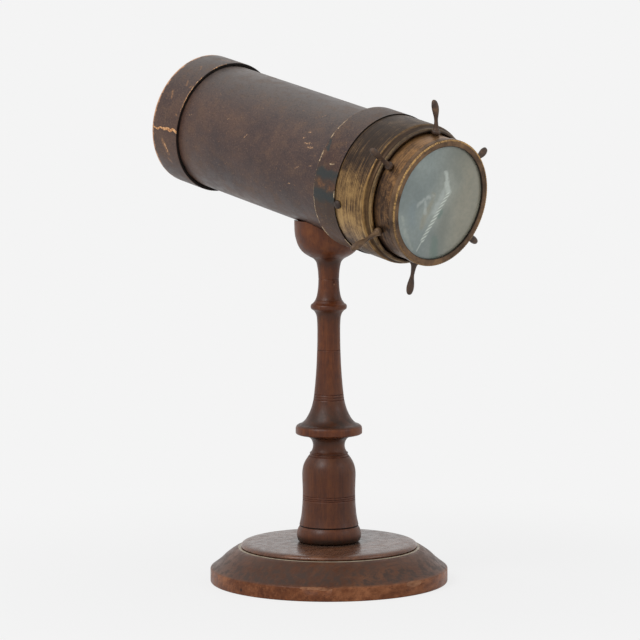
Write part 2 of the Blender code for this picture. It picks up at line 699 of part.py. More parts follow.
def build_barrel_tube(palette, barrel):
    tube = turned("pasteboard_tube",
                  ring_profile(TUBE_RADIUS, TUBE_BORE, TUBE_FRONT, TUBE_REAR),
                  BARREL_STEPS, palette["pasteboard"], closed=True)
    cover = turned("leatherette_cover",
                   ring_profile(COVER_RADIUS, COVER_BORE, TUBE_FRONT, TUBE_REAR),
                   BARREL_STEPS, palette["leatherette"], closed=True)
    for item in (tube, cover):
        place(item, barrel)
        for end in ("rear", "front"):
            cut(item, bpy.data.objects[f"screw_hole_cutter_{end}"])


def build_lid(palette, barrel):
    lip_bore = OVER_COVER - LID_LIP_WIDTH
    band = [(LID_RADIUS, LID_FRONT), (LID_RADIUS, LID_REAR + LID_LIP_WALL),
            (LID_RADIUS - LID_LIP_WALL, LID_REAR), (lip_bore, LID_REAR),
            (lip_bore, LID_REAR + LID_LIP_WALL), (OVER_COVER, LID_REAR + LID_LIP_WALL),
            (OVER_COVER, LID_FRONT)]
    place(turned("lid_band", band, BARREL_STEPS, palette["lid_paper"], closed=True), barrel)
    disc = ring_profile(OVER_COVER - SEAT_GAP, EYEPIECE_NECK_RADIUS + SEAT_GAP,
                        LID_DISC_FRONT, LID_DISC_REAR)
    place(turned("lid_disc", disc, BARREL_STEPS, palette["lid_paper"], closed=True), barrel)


def build_eyepiece(palette, barrel):
    seat = EYEPIECE_SEAT
    rear = seat - EYEPIECE_FLANGE_THICKNESS
    front = EYEPIECE_FRONT
    lens_seat = rear + EYE_SEAT_DEPTH
    bore = EYEPIECE_NECK_RADIUS - EYEPIECE_WALL
    flange_edge = arc((EYEPIECE_FLANGE_RADIUS - EYEPIECE_ROUND, rear + EYEPIECE_ROUND),
                      EYEPIECE_ROUND, EYEPIECE_ROUND, 0.0, -math.pi / 2, SHORT_CURVE_STEPS)
    points = joined(
        [(EYEPIECE_NECK_RADIUS, front), (EYEPIECE_NECK_RADIUS, seat)],
        [(EYEPIECE_FLANGE_RADIUS, seat)],
        flange_edge,
        [(EYE_DISH_RADIUS, rear), (EYE_HOLE_RADIUS, lens_seat - SEAT_GAP)],
        [(EYE_HOLE_RADIUS, lens_seat), (bore, lens_seat), (bore, front)],
    )
    place(turned("eyepiece", points, SMALL_STEPS, palette["aged_brass"], closed=True), barrel)
    lens_rear = lens_seat + SEAT_GAP
    lens_front = lens_rear + EYE_LENS_THICKNESS
    loose = bore - SEAT_GAP
    lens = disc_profile(loose, lens_front, lens_rear)
    place(turned("eye_lens", lens, SMALL_STEPS, palette["clear_glass"]), barrel)
    ring_rear = lens_front + SEAT_GAP
    ring = ring_profile(loose, loose - LENS_RING_WIDTH, ring_rear + LENS_RING_THICKNESS, ring_rear)
    place(turned("lens_ring", ring, SMALL_STEPS, palette["aged_brass"], closed=True), barrel)


def build_collar(palette, barrel):
    points = [(COLLAR_RADIUS, COLLAR_FRONT), (COLLAR_RADIUS, COLLAR_REAR),
              (OVER_COVER, COLLAR_REAR), (OVER_COVER, COLLAR_REAR + COLLAR_END_WALL),
              (COLLAR_BORE, COLLAR_REAR + COLLAR_END_WALL), (COLLAR_BORE, COLLAR_FRONT)]
    place(turned("front_collar", points, BARREL_STEPS, palette["collar_paper"], closed=True),
          barrel)


def tack_place(index):
    angle = TACK_FIRST_ANGLE + TACK_PITCH * index
    return round_barrel(angle, TACK_STATION, SLEEVE_RADIUS + SEAT_GAP)


def build_packing_ring(palette, barrel):
    shoulder = COLLAR_BORE - SEAT_GAP
    bed = PACKING_RADIUS
    rear = COLLAR_REAR + COLLAR_END_WALL + PACKING_REAR_SETBACK
    step = SLEEVE_REAR - SEAT_GAP
    points = [(bed, TUBE_FRONT), (bed, step), (shoulder, step), (shoulder, rear),
              (OVER_COVER, rear), (OVER_COVER, TUBE_FRONT)]
    ring = turned("packing_ring", points, BARREL_STEPS, palette["pasteboard"], closed=True)
    place(ring, barrel)
    return ring


def sleeve_outline():
    """Brass sleeve: a plain wall, two turned ridges and a lip that is turned in."""
    half_ridge = SLEEVE_RIDGE_WIDTH * HALF
    second = SLEEVE_FRONT - half_ridge
    first = second - SLEEVE_RIDGE_WIDTH
    first_radius = SLEEVE_RADIUS - SLEEVE_RIDGE_STEP
    second_radius = first_radius - SLEEVE_RIDGE_FALL
    second_root = second_radius - SLEEVE_RIDGE_GROOVE
    return joined(
        [(SLEEVE_LIP_RADIUS, SLEEVE_FRONT)],
        arc((second_root, second), SLEEVE_RIDGE_GROOVE, half_ridge,
            math.pi / 2, 0.0, SHORT_CURVE_STEPS),
        [(second_radius, second - half_ridge * HALF)],
        arc((second_radius, first), SLEEVE_RIDGE_FALL, half_ridge,
            math.pi / 2 - RIDGE_START, -math.pi / 2 + RIDGE_START),
        [(first_radius - SLEEVE_RIDGE_GROOVE, SLEEVE_SHOULDER)],
        [(SLEEVE_RADIUS - SLEEVE_RIDGE_GROOVE * HALF, SLEEVE_SHOULDER)],
        [(SLEEVE_RADIUS, SLEEVE_SHOULDER - SLEEVE_RIDGE_GROOVE), (SLEEVE_RADIUS, SLEEVE_REAR)],
        [(SLEEVE_BORE, SLEEVE_REAR), (SLEEVE_BORE, SLEEVE_LIP_REAR)],
        [(SLEEVE_LIP_RADIUS, SLEEVE_LIP_REAR)],
    )


def build_sleeve(palette, barrel, packing_ring):
    sleeve = turned("brass_sleeve", sleeve_outline(), BARREL_STEPS, palette["aged_brass"],
                    closed=True)
    place(sleeve, barrel)
    dome = arc((0.0, 0.0), TACK_HEAD_RADIUS, TACK_HEAD_HEIGHT, math.pi / 2, 0.0, SHORT_CURVE_STEPS)
    profile = joined(dome, [(TACK_SHANK_RADIUS, 0.0), (TACK_SHANK_RADIUS, -TACK_SHANK_LENGTH)],
                     [(0.0, -TACK_SHANK_LENGTH)])
    for index in range(TACK_COUNT):
        tack = turned(f"sleeve_tack_{index + 1}", profile, SPOKE_STEPS, palette["dark_bronze"])
        place(tack, barrel, tack_place(index))
        hole = pin_cutter(f"tack_hole_cutter_{index + 1}", TACK_SHANK_RADIUS + SEAT_GAP,
                          CUT_OVERRUN, -TACK_SHANK_LENGTH - CUT_OVERRUN,
                          barrel, tack_place(index))
        cut(sleeve, hole)
        cut(packing_ring, hole)


# Mirrors

def mirror_run():
    """Length of a leg of the V, from its apex until the board's corner nears the tube."""
    slant = math.sin(MIRROR_HALF_ANGLE)
    upright = math.cos(MIRROR_HALF_ANGLE)
    edge = MIRROR_THICKNESS * upright
    drop = SEAT_GAP + SHADE_BOARD_THICKNESS - MIRROR_APEX_OFFSET
    mean = slant * edge + upright * drop
    corner = TUBE_BORE - MIRROR_CORNER_MARGIN
    return math.sqrt(mean ** 2 + corner ** 2 - edge ** 2 - drop ** 2) - mean


MIRROR_APEX_OFFSET = TUBE_BORE - MIRROR_APEX_MARGIN
MIRROR_RUN = mirror_run()
MIRROR_WIDTH = MIRROR_RUN - MIRROR_APEX_START
BOARD_TOP = MIRROR_APEX_OFFSET - MIRROR_RUN * math.cos(MIRROR_HALF_ANGLE) - SEAT_GAP
BOARD_HALF_WIDTH = (MIRROR_RUN * math.sin(MIRROR_HALF_ANGLE)
                    + MIRROR_THICKNESS * math.cos(MIRROR_HALF_ANGLE))
BLOCK_TOP = BOARD_TOP - SHADE_BOARD_THICKNESS - SCREW_HEAD_ROOM - SCREW_HEAD_HEIGHT - SEAT_GAP


def build_mirrors(palette, barrel):
    length = MIRROR_FRONT - MIRROR_REAR
    middle = (MIRROR_FRONT + MIRROR_REAR) * HALF
    reach = MIRROR_APEX_START + MIRROR_WIDTH * HALF
    for side, name in ((1, "mirror_right"), (-1, "mirror_left")):
        plate = box(name, (MIRROR_THICKNESS, MIRROR_WIDTH, length), palette["mirror_glass"])
        lean = Matrix.Rotation(side * MIRROR_HALF_ANGLE, 4, "Z")
        apex = Matrix.Translation((0.0, MIRROR_APEX_OFFSET, middle))
        place(plate, barrel, apex @ lean @ Matrix.Translation(
            (side * MIRROR_THICKNESS * HALF, -reach, 0.0)))
    board = box("shade_board", (BOARD_HALF_WIDTH * 2, SHADE_BOARD_THICKNESS, length),
                palette["black_card"])
    place(board, barrel, Matrix.Translation(
        (0.0, BOARD_TOP - SHADE_BOARD_THICKNESS * HALF, middle)))


def mirror_disc_outline():
    """Opening of the mirror discs: round the V and its board, with a seat gap."""
    floor = BOARD_TOP - SHADE_BOARD_THICKNESS - SEAT_GAP
    wide = BOARD_HALF_WIDTH + SEAT_GAP
    side_height = BOARD_TOP + MIRROR_THICKNESS * math.sin(MIRROR_HALF_ANGLE) + SEAT_GAP
    back = (MIRROR_THICKNESS + SEAT_GAP) / math.cos(MIRROR_HALF_ANGLE)
    tip = MIRROR_APEX_OFFSET + SEAT_GAP
    tip_half = back - SEAT_GAP * math.tan(MIRROR_HALF_ANGLE)
    return [(-wide, floor), (wide, floor), (wide, side_height), (tip_half, tip),
            (-tip_half, tip), (-wide, side_height)]


def build_mirror_discs(palette, barrel):
    middles = {"mirror_disc_rear": MIRROR_REAR + MIRROR_DISC_INSET,
               "mirror_disc_front": MIRROR_FRONT - MIRROR_DISC_INSET}
    for name, middle in middles.items():
        edge = MIRROR_DISC_THICKNESS * HALF
        disc = turned(name, disc_profile(TUBE_BORE - SEAT_GAP, middle + edge, middle - edge),
                      BARREL_STEPS, palette["black_card"])
        place(disc, barrel)
        opening = flat_cutter(f"{name}_cutter", mirror_disc_outline(),
                              MIRROR_DISC_THICKNESS + CUT_OVERRUN * 2)
        place(opening, barrel, Matrix.Translation((0.0, 0.0, middle)))
        cut(disc, opening)


# Object box

def build_drum(palette, wheel):
    rebate = BEZEL_FRONT - BEZEL_SKIRT_LENGTH - SEAT_GAP
    front = BEZEL_FRONT - BEZEL_LIP_THICKNESS - SEAT_GAP
    lip_bore = DRUM_BORE - DRUM_REAR_LIP_WIDTH
    lip_front = DRUM_REAR + DRUM_REAR_LIP_THICKNESS
    points = [(DRUM_RADIUS - DRUM_REBATE, front), (DRUM_RADIUS - DRUM_REBATE, rebate),
              (DRUM_RADIUS, rebate), (DRUM_RADIUS, DRUM_FLANGE_FRONT),
              (DRUM_FLANGE_RADIUS, DRUM_FLANGE_FRONT), (DRUM_FLANGE_RADIUS, DRUM_REAR),
              (lip_bore, DRUM_REAR), (lip_bore, lip_front),
              (DRUM_BORE, lip_front), (DRUM_BORE, front)]
    drum = turned("drum_case", points, BARREL_STEPS, palette["aged_brass"], closed=True)
    place(drum, wheel)
    for index in range(SPOKE_COUNT):
        hole = pin_cutter(f"spoke_hole_cutter_{index + 1}", SPOKE_SHANK_RADIUS + SEAT_GAP,
                          CUT_OVERRUN, -DRUM_WALL - CUT_OVERRUN * HALF,
                          wheel, spoke_place(index))
        cut(drum, hole)


def build_bezel(palette, wheel):
    skirt_rear = BEZEL_FRONT - BEZEL_SKIRT_LENGTH
    skirt_bore = DRUM_RADIUS - DRUM_REBATE + SEAT_GAP
    lip_rear = BEZEL_FRONT - BEZEL_LIP_THICKNESS
    points = joined(
        [(WINDOW_RADIUS, BEZEL_FRONT - BEZEL_ROUND), (WINDOW_RADIUS + BEZEL_ROUND, BEZEL_FRONT)],
        arc((BEZEL_RADIUS - BEZEL_ROUND, BEZEL_FRONT - BEZEL_ROUND), BEZEL_ROUND, BEZEL_ROUND,
            math.pi / 2, 0.0, SHORT_CURVE_STEPS),
        [(BEZEL_RADIUS, skirt_rear), (skirt_bore, skirt_rear), (skirt_bore, lip_rear)],
        [(WINDOW_RADIUS, lip_rear)],
    )
    place(turned("front_bezel", points, BARREL_STEPS, palette["aged_brass"], closed=True), wheel)


def build_cell(palette, wheel):
    rear_glass = disc_profile(CELL_RADIUS, REAR_GLASS_FRONT, REAR_GLASS_REAR)
    place(turned("rear_glass", rear_glass, BARREL_STEPS, palette["clear_glass"]), wheel)
    front_glass = disc_profile(CELL_RADIUS, FRONT_GLASS_FRONT, FRONT_GLASS_REAR)
    place(turned("front_glass", front_glass, BARREL_STEPS, palette["ground_glass"]), wheel)
    spacer = ring_profile(CELL_RADIUS, SPACER_BORE, SPACER_FRONT, SPACER_REAR)
    place(turned("cell_spacer", spacer, BARREL_STEPS, palette["pasteboard"], closed=True), wheel)


def spoke_place(index):
    angle = math.tau * index / SPOKE_COUNT
    return round_barrel(angle, SPOKE_STATION, DRUM_RADIUS)


def build_spokes(palette, wheel):
    boss_top = SPOKE_BOSS_HEIGHT
    tip_length = SPOKE_REACH - SPOKE_GRIP_REACH
    neck = (SPOKE_NECK_RADIUS, SPOKE_NECK_REACH)
    grip = (SPOKE_GRIP_RADIUS, SPOKE_GRIP_REACH)
    boss_middle = (SEAT_GAP + boss_top) * HALF
    profile = joined(
        arc((0.0, SPOKE_GRIP_REACH), SPOKE_GRIP_RADIUS, tip_length, math.pi / 2, 0.0),
        sweep(grip, neck, SPOKE_GRIP_SHARES, SHORT_CURVE_STEPS),
        sweep(neck, (SPOKE_BOSS_TOP_RADIUS, boss_top), SPOKE_NECK_SHARES, SHORT_CURVE_STEPS),
        [(SPOKE_BOSS_RADIUS, boss_middle), (SPOKE_BOSS_TOP_RADIUS, SEAT_GAP)],
        [(SPOKE_SHANK_RADIUS, SEAT_GAP), (SPOKE_SHANK_RADIUS, -DRUM_WALL), (0.0, -DRUM_WALL)],
    )
    first = None
    for index in range(SPOKE_COUNT):
        spoke = turned(f"spoke_{index + 1}", profile, SPOKE_STEPS, palette["dark_bronze"])
        if first:
            spoke.data = first.data
        first = first or spoke
        place(spoke, wheel, spoke_place(index))


# Loose pieces in the object box

def round_ended(radius, length):
    """Profile of a rod with round ends, centred on its own origin."""
    straight = length * HALF - radius
    return joined(
        arc((0.0, straight), radius, radius, math.pi / 2, 0.0, END_ROUND_STEPS),
        arc((0.0, -straight), radius, radius, 0.0, -math.pi / 2, END_ROUND_STEPS),
    )


def layer_radius(share):
    """Radius of a round piece that fills a layer of the chamber's depth."""
    return (CHAMBER_DEPTH * share - SEAT_GAP) * HALF


def rest_circle(radius):
    """Radius of the circle on which a round piece's middle rests in the spacer."""
    return SPACER_BORE - SEAT_GAP - radius


def build_ampoule(palette, wheel, index, station):
    """One ampoule along a chord of the chamber, with a bead against one of its ends."""
    radius = layer_radius(LAYER_SHARES[index])
    length = SPACER_BORE * 2 * AMPOULE_LENGTH_SHARES[index]
    end_circle = rest_circle(radius)
    half_length = length * HALF - radius
    half_angle = math.asin(half_length / end_circle)
    offset = math.sqrt(end_circle ** 2 - half_length ** 2)
    ampoule = turned(f"ampoule_{index + 1}", round_ended(radius, length), SPOKE_STEPS,
                     palette[("amber_glass", "blue_glass", "red_glass")[index]])
    place(ampoule, wheel, Matrix.Rotation(AMPOULE_ANGLES[index], 4, "Z")
          @ Matrix.Translation((0.0, offset, station))
          @ Matrix.Rotation(math.pi / 2, 4, "Y"))
    bead_radius = radius * BEAD_RADIUS_SHARE
    bead_circle = rest_circle(bead_radius)
    apart = radius + bead_radius + SEAT_GAP
    between = math.acos((bead_circle ** 2 + end_circle ** 2 - apart ** 2)
                        / (2 * bead_circle * end_circle))
    angle = AMPOULE_ANGLES[index] + BEAD_SIDES[index] * (half_angle + between)
    bead = turned(f"bead_{index + 1}", round_ended(bead_radius, bead_radius * 2), SPOKE_STEPS,
                  palette[("red_glass", "white_glass", "amber_glass")[index]])
    place(bead, wheel, Matrix.Rotation(angle, 4, "Z")
          @ Matrix.Translation((0.0, bead_circle, station)))


def build_twist_rod(palette, wheel):
    """A rod that leans on the front glass, its foot on the spacer."""
    radius = layer_radius(TWIST_ROD_LAYER_SHARE)
    length = SPACER_BORE * 2 * TWIST_ROD_LENGTH_SHARE
    station = FRONT_GLASS_REAR - SEAT_GAP - radius
    rod = turned("twist_rod", round_ended(radius, length), SPOKE_STEPS, palette["white_glass"])
    place(rod, wheel, Matrix.Rotation(TWIST_ROD_FOOT_ANGLE, 4, "Z")
          @ Matrix.Translation((0.0, rest_circle(radius), station))
          @ Matrix.Rotation(TWIST_ROD_LEAN, 4, "Z")
          @ Matrix.Translation((0.0, radius - length * HALF, 0.0))
          @ Matrix.Rotation(math.pi / 2, 4, "X"))


def build_loose_pieces(palette, wheel):
    layer_rear = REAR_GLASS_FRONT
    for index, share in enumerate(LAYER_SHARES):
        depth = CHAMBER_DEPTH * share
        build_ampoule(palette, wheel, index, layer_rear + depth * HALF)
        layer_rear += depth
    build_twist_rod(palette, wheel)


def main():
    start_scene()
    palette = make_palette()
    barrel = make_pivot("barrel_axis", (0.0, 0.0, BARREL_AXIS_HEIGHT),
                        (math.pi / 2 + BARREL_DIP, 0.0, 0.0))
    wheel = make_pivot("wheel_axis", (0.0, 0.0, 0.0), (0.0, 0.0, WHEEL_REST_ANGLE), barrel)
    build_base_disc(palette)
    build_step_disc(palette)
    build_lower_pillar(palette)
    build_upper_stem(palette, barrel)
    build_saddle_fixing(palette, barrel)
    build_barrel_tube(palette, barrel)
    build_lid(palette, barrel)
    build_eyepiece(palette, barrel)
    build_collar(palette, barrel)
    packing_ring = build_packing_ring(palette, barrel)
    build_sleeve(palette, barrel, packing_ring)
    build_mirrors(palette, barrel)
    build_mirror_discs(palette, barrel)
    build_drum(palette, wheel)
    build_bezel(palette, wheel)
    build_cell(palette, wheel)
    build_spokes(palette, wheel)
    build_loose_pieces(palette, wheel)
    bpy.context.view_layer.update()


main()
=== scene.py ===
# %% [markdown]
# # A parlour kaleidoscope, finished for its portrait
#
# The instrument stands on a turned wooden pedestal. A pasteboard tube in dark
# leatherette lies in the hollowed cup at the top, and a small brass box with a glass
# face turns at its front, pushed round by six spokes. This lesson dresses a plain
# solid model of it: most pieces are turned again with finer lines, as on a lathe, and
# every piece gets a finish made of nodes.
#
# The plain model is loaded first and never moved. Everything below is in its frame, so
# a new piece goes exactly where the old one was. Blender counts in metres, and the
# tables of this lesson give millimetres.

# %% Load the plain model
import json
import math

import bpy
from mathutils import Matrix, Vector


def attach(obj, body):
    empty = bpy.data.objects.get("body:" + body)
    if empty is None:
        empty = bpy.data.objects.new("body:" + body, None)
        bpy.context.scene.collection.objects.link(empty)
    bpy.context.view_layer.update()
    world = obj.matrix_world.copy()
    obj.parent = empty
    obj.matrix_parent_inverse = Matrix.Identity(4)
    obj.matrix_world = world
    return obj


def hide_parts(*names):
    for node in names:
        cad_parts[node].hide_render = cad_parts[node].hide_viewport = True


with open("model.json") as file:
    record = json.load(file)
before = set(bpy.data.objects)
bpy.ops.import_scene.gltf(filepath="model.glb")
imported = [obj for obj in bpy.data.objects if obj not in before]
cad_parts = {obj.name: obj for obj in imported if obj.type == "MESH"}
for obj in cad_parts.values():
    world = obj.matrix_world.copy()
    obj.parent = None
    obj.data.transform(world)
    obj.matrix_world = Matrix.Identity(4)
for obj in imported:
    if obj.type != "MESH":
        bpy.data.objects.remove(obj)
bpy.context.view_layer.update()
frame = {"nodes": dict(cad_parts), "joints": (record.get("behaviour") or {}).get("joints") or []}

# %% [markdown]
# ## Where the barrel lies
#
# The record says where the object box turns: a point on the barrel's axis and the
# direction towards the glass face. A matrix made from the two takes a piece that is
# turned upright, round the Z axis, and lays it on the barrel. Along the barrel,
# heights become stations: the stand is at zero and the glass face is at plus 107 mm.
# The box was left a little turned, so its pieces go by a frame of their own.

# %% The barrel's own frame
MM = 0.001
TURN = frame["joints"][0]
FORWARD = Vector(TURN["axis"]).normalized()
BARREL_DIP = math.asin(-FORWARD.z)
BARREL = (Matrix.Translation(Vector(TURN["pos_m"]))
          @ Matrix.Rotation(math.pi / 2 + BARREL_DIP, 4, "X"))
WHEEL = BARREL @ Matrix.Rotation(math.radians(-1.2), 4, "Z")
STANDING = Matrix.Identity(4)
print("barrel dips", round(math.degrees(BARREL_DIP), 2), "degrees")

# %% [markdown]
# ## Turning on the lathe
#
# Most of this object is turned work. A turner holds a template of half the outline
# against the spinning wood, and the same is done here: one vertex is pulled out point
# by point into the outline, and the spin operator carries it round the axis. A few
# small helpers look after the outline itself. One reads a table in millimetres, one
# runs a smooth curve through measured points, one eases the sharp corners as sandpaper
# does, and one cuts the fine lines that a skew chisel leaves.


# %% Outline helpers
def mm(*points):
    """A table of radius and height, in millimetres."""
    return [(across * MM, along * MM) for across, along in points]


def flow(points, steps=5):
    """A smooth curve through measured points."""
    run = [Vector(point) for point in points]
    curve = []
    for index in range(len(run) - 1):
        start, end = run[index], run[index + 1]
        before = run[index - 1] if index else start * 2 - end
        after = run[index + 2] if index + 2 < len(run) else end * 2 - start
        for step in range(steps):
            t = step / steps
            curve.append(((start * 2) + (end - before) * t
                          + (before * 2 - start * 5 + end * 4 - after) * t * t
                          + (start * 3 - before - end * 3 + after) * t ** 3) / 2)
    curve.append(run[-1])
    return [tuple(point) for point in curve]


def ease(points, radius, steps=3):
    """Rounds the corners of an outline, and leaves its gentle bends alone."""
    gentle, furthest = math.radians(14), 0.45
    eased = [points[0]]
    for before, corner, after in zip(points, points[1:], points[2:]):
        middle = Vector(corner)
        back, on = Vector(before) - middle, Vector(after) - middle
        if back.length < 1e-7 or on.length < 1e-7 or back.angle(-on) < gentle:
            eased.append(corner)
            continue
        reach = min(radius * MM, back.length * furthest, on.length * furthest)
        start, end = middle + back.normalized() * reach, middle + on.normalized() * reach
        for step in range(steps + 1):
            t = step / steps
            point = start * (1 - t) ** 2 + middle * 2 * t * (1 - t) + end * t * t
            eased.append(tuple(point))
    eased.append(points[-1])
    return eased


def radius_at(outline, height):
    """Radius of a falling outline at a height."""
    for (upper_r, upper), (lower_r, lower) in zip(outline, outline[1:]):
        if upper >= height > lower:
            return upper_r + (lower_r - upper_r) * (upper - height) / (upper - lower)
    return outline[-1][0]


def score(outline, heights, depth, half_width):
    """Cuts fine lines into a falling outline."""
    for height in heights:
        top, middle, foot = ((height + step) * MM for step in (half_width, 0, -half_width))
        cut = [(radius_at(outline, top), top), (radius_at(outline, middle) - depth * MM, middle),
               (radius_at(outline, foot), foot)]
        outline = ([point for point in outline if point[1] > top] + cut
                   + [point for point in outline if point[1] < foot])
    return outline


# %% [markdown]
# The lathe needs care with selection. Loading leaves every plain node selected and an
# operator works on all that is selected, so each piece starts from nothing selected at
# all. The finished piece is laid on the stand or on the barrel and its place is written
# into the mesh, so its own object stays at the origin.

# %% Lathe helpers
def clear_bench():
    """Leaves edit mode, with nothing selected."""
    if bpy.context.object and bpy.context.object.mode != "OBJECT":
        bpy.ops.object.mode_set(mode="OBJECT")
    bpy.ops.object.select_all(action="DESELECT")


def take_up(piece):
    """Selects one piece alone and makes it the active one."""
    clear_bench()
    piece.select_set(True)
    bpy.context.view_layer.objects.active = piece


def pull_outline(name, outline):
    """One vertex, pulled out point by point along the outline."""
    clear_bench()
    bpy.ops.mesh.primitive_plane_add(size=MM, location=(0, 0, 0))
    piece = bpy.context.object
    piece.name = piece.data.name = name
    bpy.ops.object.mode_set(mode="EDIT")
    bpy.ops.mesh.select_mode(type="VERT")
    bpy.ops.mesh.select_all(action="SELECT")
    bpy.ops.mesh.merge(type="CENTER")
    bpy.ops.transform.translate(value=(outline[0][0], 0, outline[0][1]))
    for start, end in zip(outline, outline[1:]):
        bpy.ops.mesh.extrude_region_move(TRANSFORM_OT_translate={
            "value": (end[0] - start[0], 0, end[1] - start[1])})
    return piece


def settle(piece, place=STANDING, sharp=35):
    """Lays a piece in its place, with the place in its mesh, and smooths its shading."""
    piece.matrix_world = place
    take_up(piece)
    bpy.ops.object.transform_apply(location=True, rotation=True, scale=True)
    bpy.ops.object.shade_smooth_by_angle(angle=math.radians(sharp))
    piece.select_set(False)


def lathe(name, outline, steps, place=STANDING, sharp=35, closed=False):
    """A turned piece; a closed outline makes a ring."""
    if closed:
        outline = outline + [outline[0]]
    piece = pull_outline(name, outline)
    bpy.ops.mesh.select_all(action="SELECT")
    bpy.ops.mesh.spin(steps=steps, angle=math.tau, center=(0, 0, 0), axis=(0, 0, 1))
    bpy.ops.mesh.select_all(action="SELECT")
    bpy.ops.mesh.remove_doubles(threshold=0.002 * MM)
    bpy.ops.mesh.normals_make_consistent(inside=False)
    clear_bench()
    settle(piece, place, sharp)
    print(name, len(piece.data.polygons), "faces")
    return piece


# %% [markdown]
# Hollows are cut with a boolean modifier. The cutter hands its own finish to the
# hollow, so a chip shows bare wood without any further work. Small hollows are all
# scooped with a ball beside the axis, flattened to the size that is wanted.

# %% Scooping helpers
def scoop(piece, cutter):
    """Takes a cutter out of a piece; the hollow keeps the cutter's finish."""
    take_up(piece)
    cut = piece.modifiers.new("scoop", "BOOLEAN")
    cut.operation = "DIFFERENCE"
    cut.solver = "EXACT"
    cut.material_mode = "TRANSFER"
    cut.object = cutter
    bpy.ops.object.modifier_apply(modifier=cut.name)
    bpy.data.objects.remove(cutter, do_unlink=True)
    print(piece.name, "scooped,", len(piece.data.polygons), "faces")


def ball(turn, out, height, sizes, material, segments):
    """A ball at a turn in degrees; its sizes go outwards, sideways and up."""
    clear_bench()
    bpy.ops.mesh.primitive_uv_sphere_add(segments=segments, ring_count=12, radius=1.0)
    made = bpy.context.object
    made.matrix_world = (Matrix.Rotation(math.radians(turn), 4, "Z")
                         @ Matrix.Translation((out * MM, 0, height * MM))
                         @ Matrix.Diagonal((*(size * MM for size in sizes), 1)))
    made.data.materials.append(material)
    bpy.context.view_layer.update()
    return made


# %% [markdown]
# ## Finishes, as recipes of nodes
#
# A finish is written down as a recipe: each call adds one node and hands back its
# output, so a recipe reads from the raw noise at the top to the shader at the bottom.
# The recipe remembers the colour that it has reached, and each further layer is laid
# over it by a share. Colours are written as a paint chart gives them, 0 to 255.
#
# On the barrel, a pattern has to know how far along and how far round it is. A Mapping
# node set to Texture carries a point into the barrel's frame, where Z is the station
# and X and Y give the angle, and arctangent turns those two into a turn from the top.

# %% Recipe helper
def shade(red, green, blue):
    """A paint chart's colour in the renderer's own terms."""
    return tuple((value / 255 / 12.92) if value <= 10 else ((value / 255 + 0.055) / 1.055) ** 2.4
                 for value in (red, green, blue))


